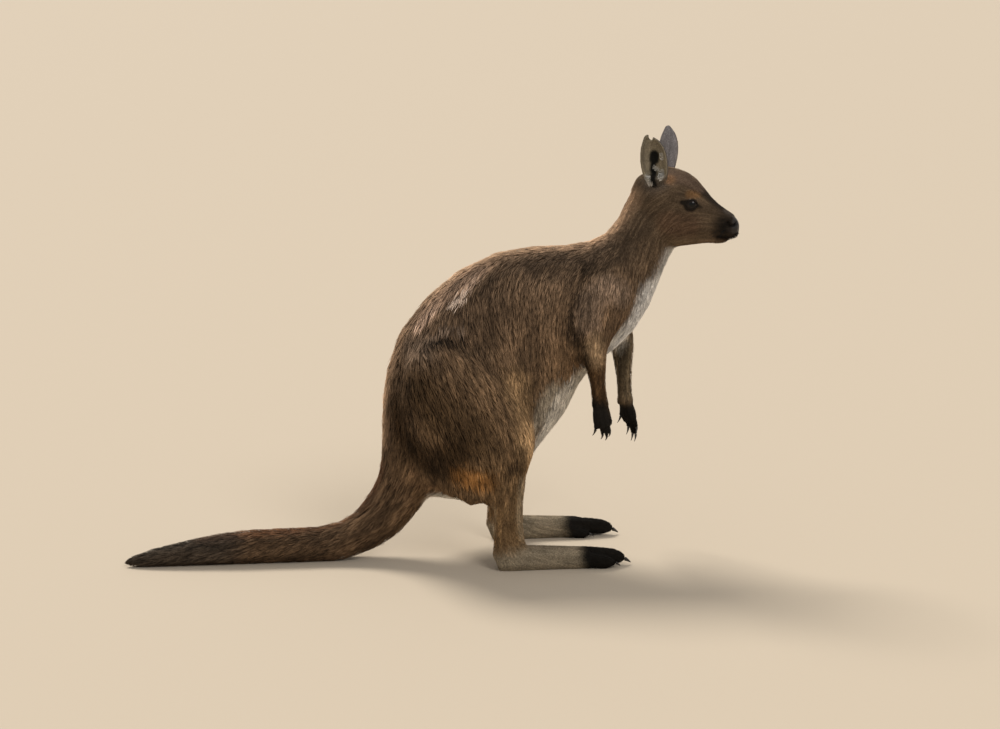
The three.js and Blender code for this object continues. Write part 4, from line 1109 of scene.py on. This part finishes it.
# %% Unwrap the skin and read the roots' places
for o in bpy.context.selected_objects:
    o.select_set(False)
bpy.context.view_layer.objects.active = skin
skin.select_set(True)
bpy.ops.object.mode_set(mode="EDIT")
bpy.ops.mesh.select_all(action="SELECT")
bpy.ops.uv.smart_project(angle_limit=math.radians(72), island_margin=0.002)
bpy.ops.object.mode_set(mode="OBJECT")
skin_map = np.empty(len(skin.data.loops) * 2, np.float32)
skin.data.uv_layers.active.uv.foreach_get("vector", skin_map)
skin_map = skin_map.reshape(-1, 2)
loops = np.empty(len(skin.data.loop_triangles) * 3, np.int32)
skin.data.calc_loop_triangles()
skin.data.loop_triangles.foreach_get("loops", loops)
corner_map = skin_map[loops.reshape(-1, 3)]
root_map = (corner_map[root_face] * weights[:, :, None]).sum(1)
print("unwrap spans", np.round(root_map.min(0), 2), "to", np.round(root_map.max(0), 2))

# %% Make a piece of many locks
PATCH = 0.003
LOWEST = 0.0004
# The ridge's root point is moved in, so that the root cap has an area of its own on the map.
patch_u = np.array([1.0, 1.0, 0])[level] * np.sin(angle) / 1.732
patch_v = reach - 0.5 + np.where((np.cos(angle) > 0.5) & (level == 0), 0.15, 0)


def lock_piece(name, spine, sides, rises, half, thick, colours, tones, places):
    """One mesh of locks. spine, sides and rises hold each lock's root, middle and tip."""
    count = len(half)
    half = half[:, None, None]
    side, rise = sides[:, level], rises[:, level]
    verts = spine[:, level] + side * ring_wide[:, None] * half + rise * ring_high[:, None] * half * thick
    verts[..., 2] = np.maximum(verts[..., 2], LOWEST)
    corner_normals = unit(rise + side * (ring_wide * 0.75)[:, None])
    faces = (shape_faces[None] + (np.arange(count) * len(shape_points))[:, None, None]).reshape(-1, 3)
    mesh = bpy.data.meshes.new(name)
    mesh.vertices.add(verts.size // 3)
    mesh.vertices.foreach_set("co", verts.astype(np.float32).ravel())
    mesh.loops.add(faces.size)
    mesh.loops.foreach_set("vertex_index", faces.ravel().astype(np.int32))
    mesh.polygons.add(len(faces))
    mesh.polygons.foreach_set("loop_start", np.arange(0, faces.size, 3, dtype=np.int32))
    mesh.polygons.foreach_set("use_smooth", np.ones(len(faces), bool))
    mesh.update(calc_edges=True)
    patches = places[:, None] + np.stack([patch_u, patch_v], 1)[None] * PATCH
    layer = mesh.uv_layers.new(name="OFBake")
    layer.uv.foreach_set("vector", patches.reshape(-1, 2)[faces.ravel()].astype(np.float32).ravel())
    add_colour(mesh, "marking", np.repeat(colours, len(shape_points), axis=0))
    add_float(mesh, "reach", np.tile(reach, count))
    add_float(mesh, "tone", np.repeat(tones, len(shape_points)))
    mesh.normals_split_custom_set_from_vertices(corner_normals.reshape(-1, 3).astype(np.float32))
    mesh.materials.append(coat_material)
    piece = bpy.data.objects.new(name, mesh)
    scene.collection.objects.link(piece)
    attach(piece, "root")
    return piece


# %% Deal the locks out over the coat's pieces
COAT_PIECES = 8
ROOT_SINK = 0.0006
THICK = 0.30  # a lock's half thickness against its half width
spine = np.stack([root - up * ROOT_SINK, middle, tip], 1)
sides = np.stack([across, unit(np.cross(mid_up, mid_way)), across], 1)
rises = np.stack([up, mid_up, up], 1)
for index in range(COAT_PIECES):
    mine = np.arange(index, locks, COAT_PIECES)
    lock_piece(
        f"coat_layer_{index + 1}", spine[mine], sides[mine], rises[mine], lock_width[mine] / 2, THICK,
        lock_colours[mine], tone[mine], root_map[mine],
    )
print("coat:", COAT_PIECES, "pieces of about", locks // COAT_PIECES * len(shape_faces), "triangles")

# %% [markdown]
# ## Whiskers and lashes
# Stiff black bristles stand from the upper lip, the brow, the cheek and the upper lid. Each is a lock
# too, but as thin as a thread and nearly as deep as wide, and it stands clear of the coat and droops.

# %% Whiskers and lashes
# Rows, in the head's frame on the left: place, way, length (mm), how many, spread of the places (mm).
BRISTLES = [
    ((0.165, 0.024, 0.728), (-0.35, 1.0, -0.25), 34, 12, 8.0),
    ((0.150, 0.028, 0.722), (-0.55, 1.0, -0.35), 30, 7, 6.0),
    ((0.108, 0.038, 0.808), (0.0, 0.75, 0.85), 24, 4, 2.5),
    ((0.060, 0.055, 0.728), (-0.6, 1.0, -0.3), 20, 3, 2.5),
]
LASH_LENGTH, LASHES = 0.0055, 17
WHISKER_WIDTH, LASH_WIDTH, DROOP = 0.0005, 0.0006, 0.16
BRISTLE_THICK, BRISTLE_BLACK = 0.9, 0.012
starts, ways, lengths, widths = [], [], [], []
for side in SIDES:
    flip = [1, MIRROR[side], 1]
    for place, toward, reach_mm, count, spread_mm in BRISTLES:
        starts.append(place * np.array(flip) + chance.normal(0, spread_mm / 2000, (count, 3)))
        ways.append(unit(np.array(toward) * flip + chance.normal(0, 0.16, (count, 3))))
        lengths.append(reach_mm / 1000 * chance.uniform(0.6, 1.1, count))
        widths.append(np.full(count, WHISKER_WIDTH))
    centre, slit, up_way, out_way = eye_axes(side)
    along = np.linspace(-0.85, 0.85, LASHES)[:, None]
    rim_high = (UPPER_HEIGHT / EYE_RADIUS) * (1 - along**2) ** ALMOND_POWER
    out = unit(out_way + slit * along * (OPENING_HALF / EYE_RADIUS) + up_way * rim_high)
    starts.append(centre + out * (EYE_RADIUS + LID_THICKNESS))
    ways.append(unit(out + up_way * 0.35 + slit * along * 0.4))
    lengths.append(LASH_LENGTH * chance.uniform(0.7, 1.1, LASHES))
    widths.append(np.full(LASHES, LASH_WIDTH))
start, face, _ = nearest(bed_tree, from_head(np.concatenate(starts)))
bristle_way, bristle_length = turn_head(np.concatenate(ways)), np.concatenate(lengths)[:, None]
bristle_up = unit(smooth_normals[bed_triangles[face]].mean(1))
bristle_side = unit(np.cross(bristle_up, bristle_way))
bristle_rise = unit(np.cross(bristle_way, bristle_side))
fall = np.array([0, 0, -DROOP]) * bristle_length
bristle_spine = np.stack(
    [start - bristle_up * ROOT_SINK, start + bristle_way * bristle_length * MIDDLE + fall * MIDDLE**2,
     start + bristle_way * bristle_length + fall], 1,
)
lock_piece(
    "whiskers", bristle_spine, np.stack([bristle_side] * 3, 1), np.stack([bristle_rise] * 3, 1),
    np.concatenate(widths) / 2, BRISTLE_THICK, np.full((len(start), 3), BRISTLE_BLACK), np.ones(len(start)),
    corner_map[face].mean(1),
)
print("whiskers and lashes:", len(start))

# %% [markdown]
# ## The eyes
# A kangaroo's eye is a big dark globe: a brown iris round a wide flat pupil, under a clear wet dome. Here
# the globe is one sphere whose finish is read from how far each point lies from the pupil, with a glossy
# coat over it.

# %% Eye finish
eye_material, tree, shader = new_material("wet_eye")
spread = add_attribute(tree, "iris")
fibres = add_noise(tree, add_node(tree, "ShaderNodeTexCoord").outputs["Object"], 900.0, 2.0)
ring = add_node(tree, "ShaderNodeValToRGB")
# From the pupil's middle out: pupil, iris, its dark rim and the rest of the ball.
stops = [(0.0, (0.001, 0.001, 0.001, 1)), (0.44, (0.002, 0.0015, 0.001, 1)), (0.52, (0.012, 0.006, 0.003, 1)),
         (0.80, (0.009, 0.005, 0.003, 1)), (0.92, (0.003, 0.002, 0.002, 1)), (1.0, (0.02, 0.014, 0.012, 1))]
while len(ring.color_ramp.elements) < len(stops):
    ring.color_ramp.elements.new(0.5)
for element, (place, colour) in zip(ring.color_ramp.elements, stops):
    element.position, element.color = place, colour
link_nodes(tree, spread, ring.inputs["Fac"])
fibre_light = add_range(tree, fibres, 0.3, 0.7, 0.7, 1.3)
link_nodes(tree, scale_colour(tree, ring.outputs["Color"], fibre_light), shader.inputs["Base Color"])
shader.inputs["Roughness"].default_value = 0.12
shader.inputs["Specular IOR Level"].default_value = 0.1
shader.inputs["Coat Weight"].default_value = 0.5
shader.inputs["Coat IOR"].default_value = 1.36
shader.inputs["Coat Roughness"].default_value = 0.03

# %% Eyeballs
for side in SIDES:
    centre, slit, up_way, out_way = eye_axes(side)
    ball = bmesh.new()
    bmesh.ops.create_uvsphere(ball, u_segments=48, v_segments=32, radius=EYE_RADIUS)
    mesh = bpy.data.meshes.new(f"eyeball_{side}")
    ball.to_mesh(mesh)
    ball.free()
    bead = read_points(mesh)
    offset = np.column_stack([bead @ slit / 1.25, bead @ up_way]) / EYE_RADIUS
    facing = bead @ out_way > 0
    iris = np.where(facing, np.clip(np.linalg.norm(offset, axis=1) / 0.82, 0, 1), 1)
    # The clear dome in front bulges by about 2 percent of the ball's radius.
    dome = 1 + 0.05 * np.clip((bead @ out_way) / EYE_RADIUS - 0.55, 0, 1)
    placed = from_head(bead * dome[:, None] + centre)
    mesh.vertices.foreach_set("co", placed.astype(np.float32).ravel())
    add_float(mesh, "iris", iris)
    mesh.polygons.foreach_set("use_smooth", np.ones(len(mesh.polygons), bool))
    mesh.materials.append(eye_material)
    mesh.update()
    piece = bpy.data.objects.new(mesh.name, mesh)
    scene.collection.objects.link(piece)
    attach(piece, "root")
    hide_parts(f"eye_{side}")
print("eyeballs:", EYE_RADIUS * 2000, "mm across")

# %% [markdown]
# ## The claws
# Kangaroo claws are black horn, worn smooth at the point. The frame's own claws have the right curve, so
# they keep their place and are only rounded by a subdivision surface.

# %% Horn finish
horn_material, tree, shader = new_material("claw_horn")
horn_where = add_node(tree, "ShaderNodeTexCoord").outputs["Object"]
streaks = add_noise(tree, horn_where, 350.0)
ring = add_node(tree, "ShaderNodeValToRGB")
stops = [(0.3, (0.012, 0.010, 0.008, 1)), (0.75, (0.028, 0.022, 0.018, 1))]
for element, (place, colour) in zip(ring.color_ramp.elements, stops):
    element.position, element.color = place, colour
link_nodes(tree, streaks, ring.inputs["Fac"])
link_nodes(tree, ring.outputs["Color"], shader.inputs["Base Color"])
link_nodes(tree, add_range(tree, streaks, 0.2, 0.8, 0.25, 0.5), shader.inputs["Roughness"])

# %% Round the claws
claws = [n for n in nodes if "claw" in n]
for name in claws:
    claw = nodes[name]
    weld = claw.modifiers.new("weld", "WELD")
    weld.merge_threshold = 1e-5
    rounder = claw.modifiers.new("round", "SUBSURF")
    rounder.levels = rounder.render_levels = 2
    claw.data.materials.clear()
    claw.data.materials.append(horn_material)
    claw.data.polygons.foreach_set("use_smooth", np.ones(len(claw.data.polygons), bool))
print("claws:", len(claws))
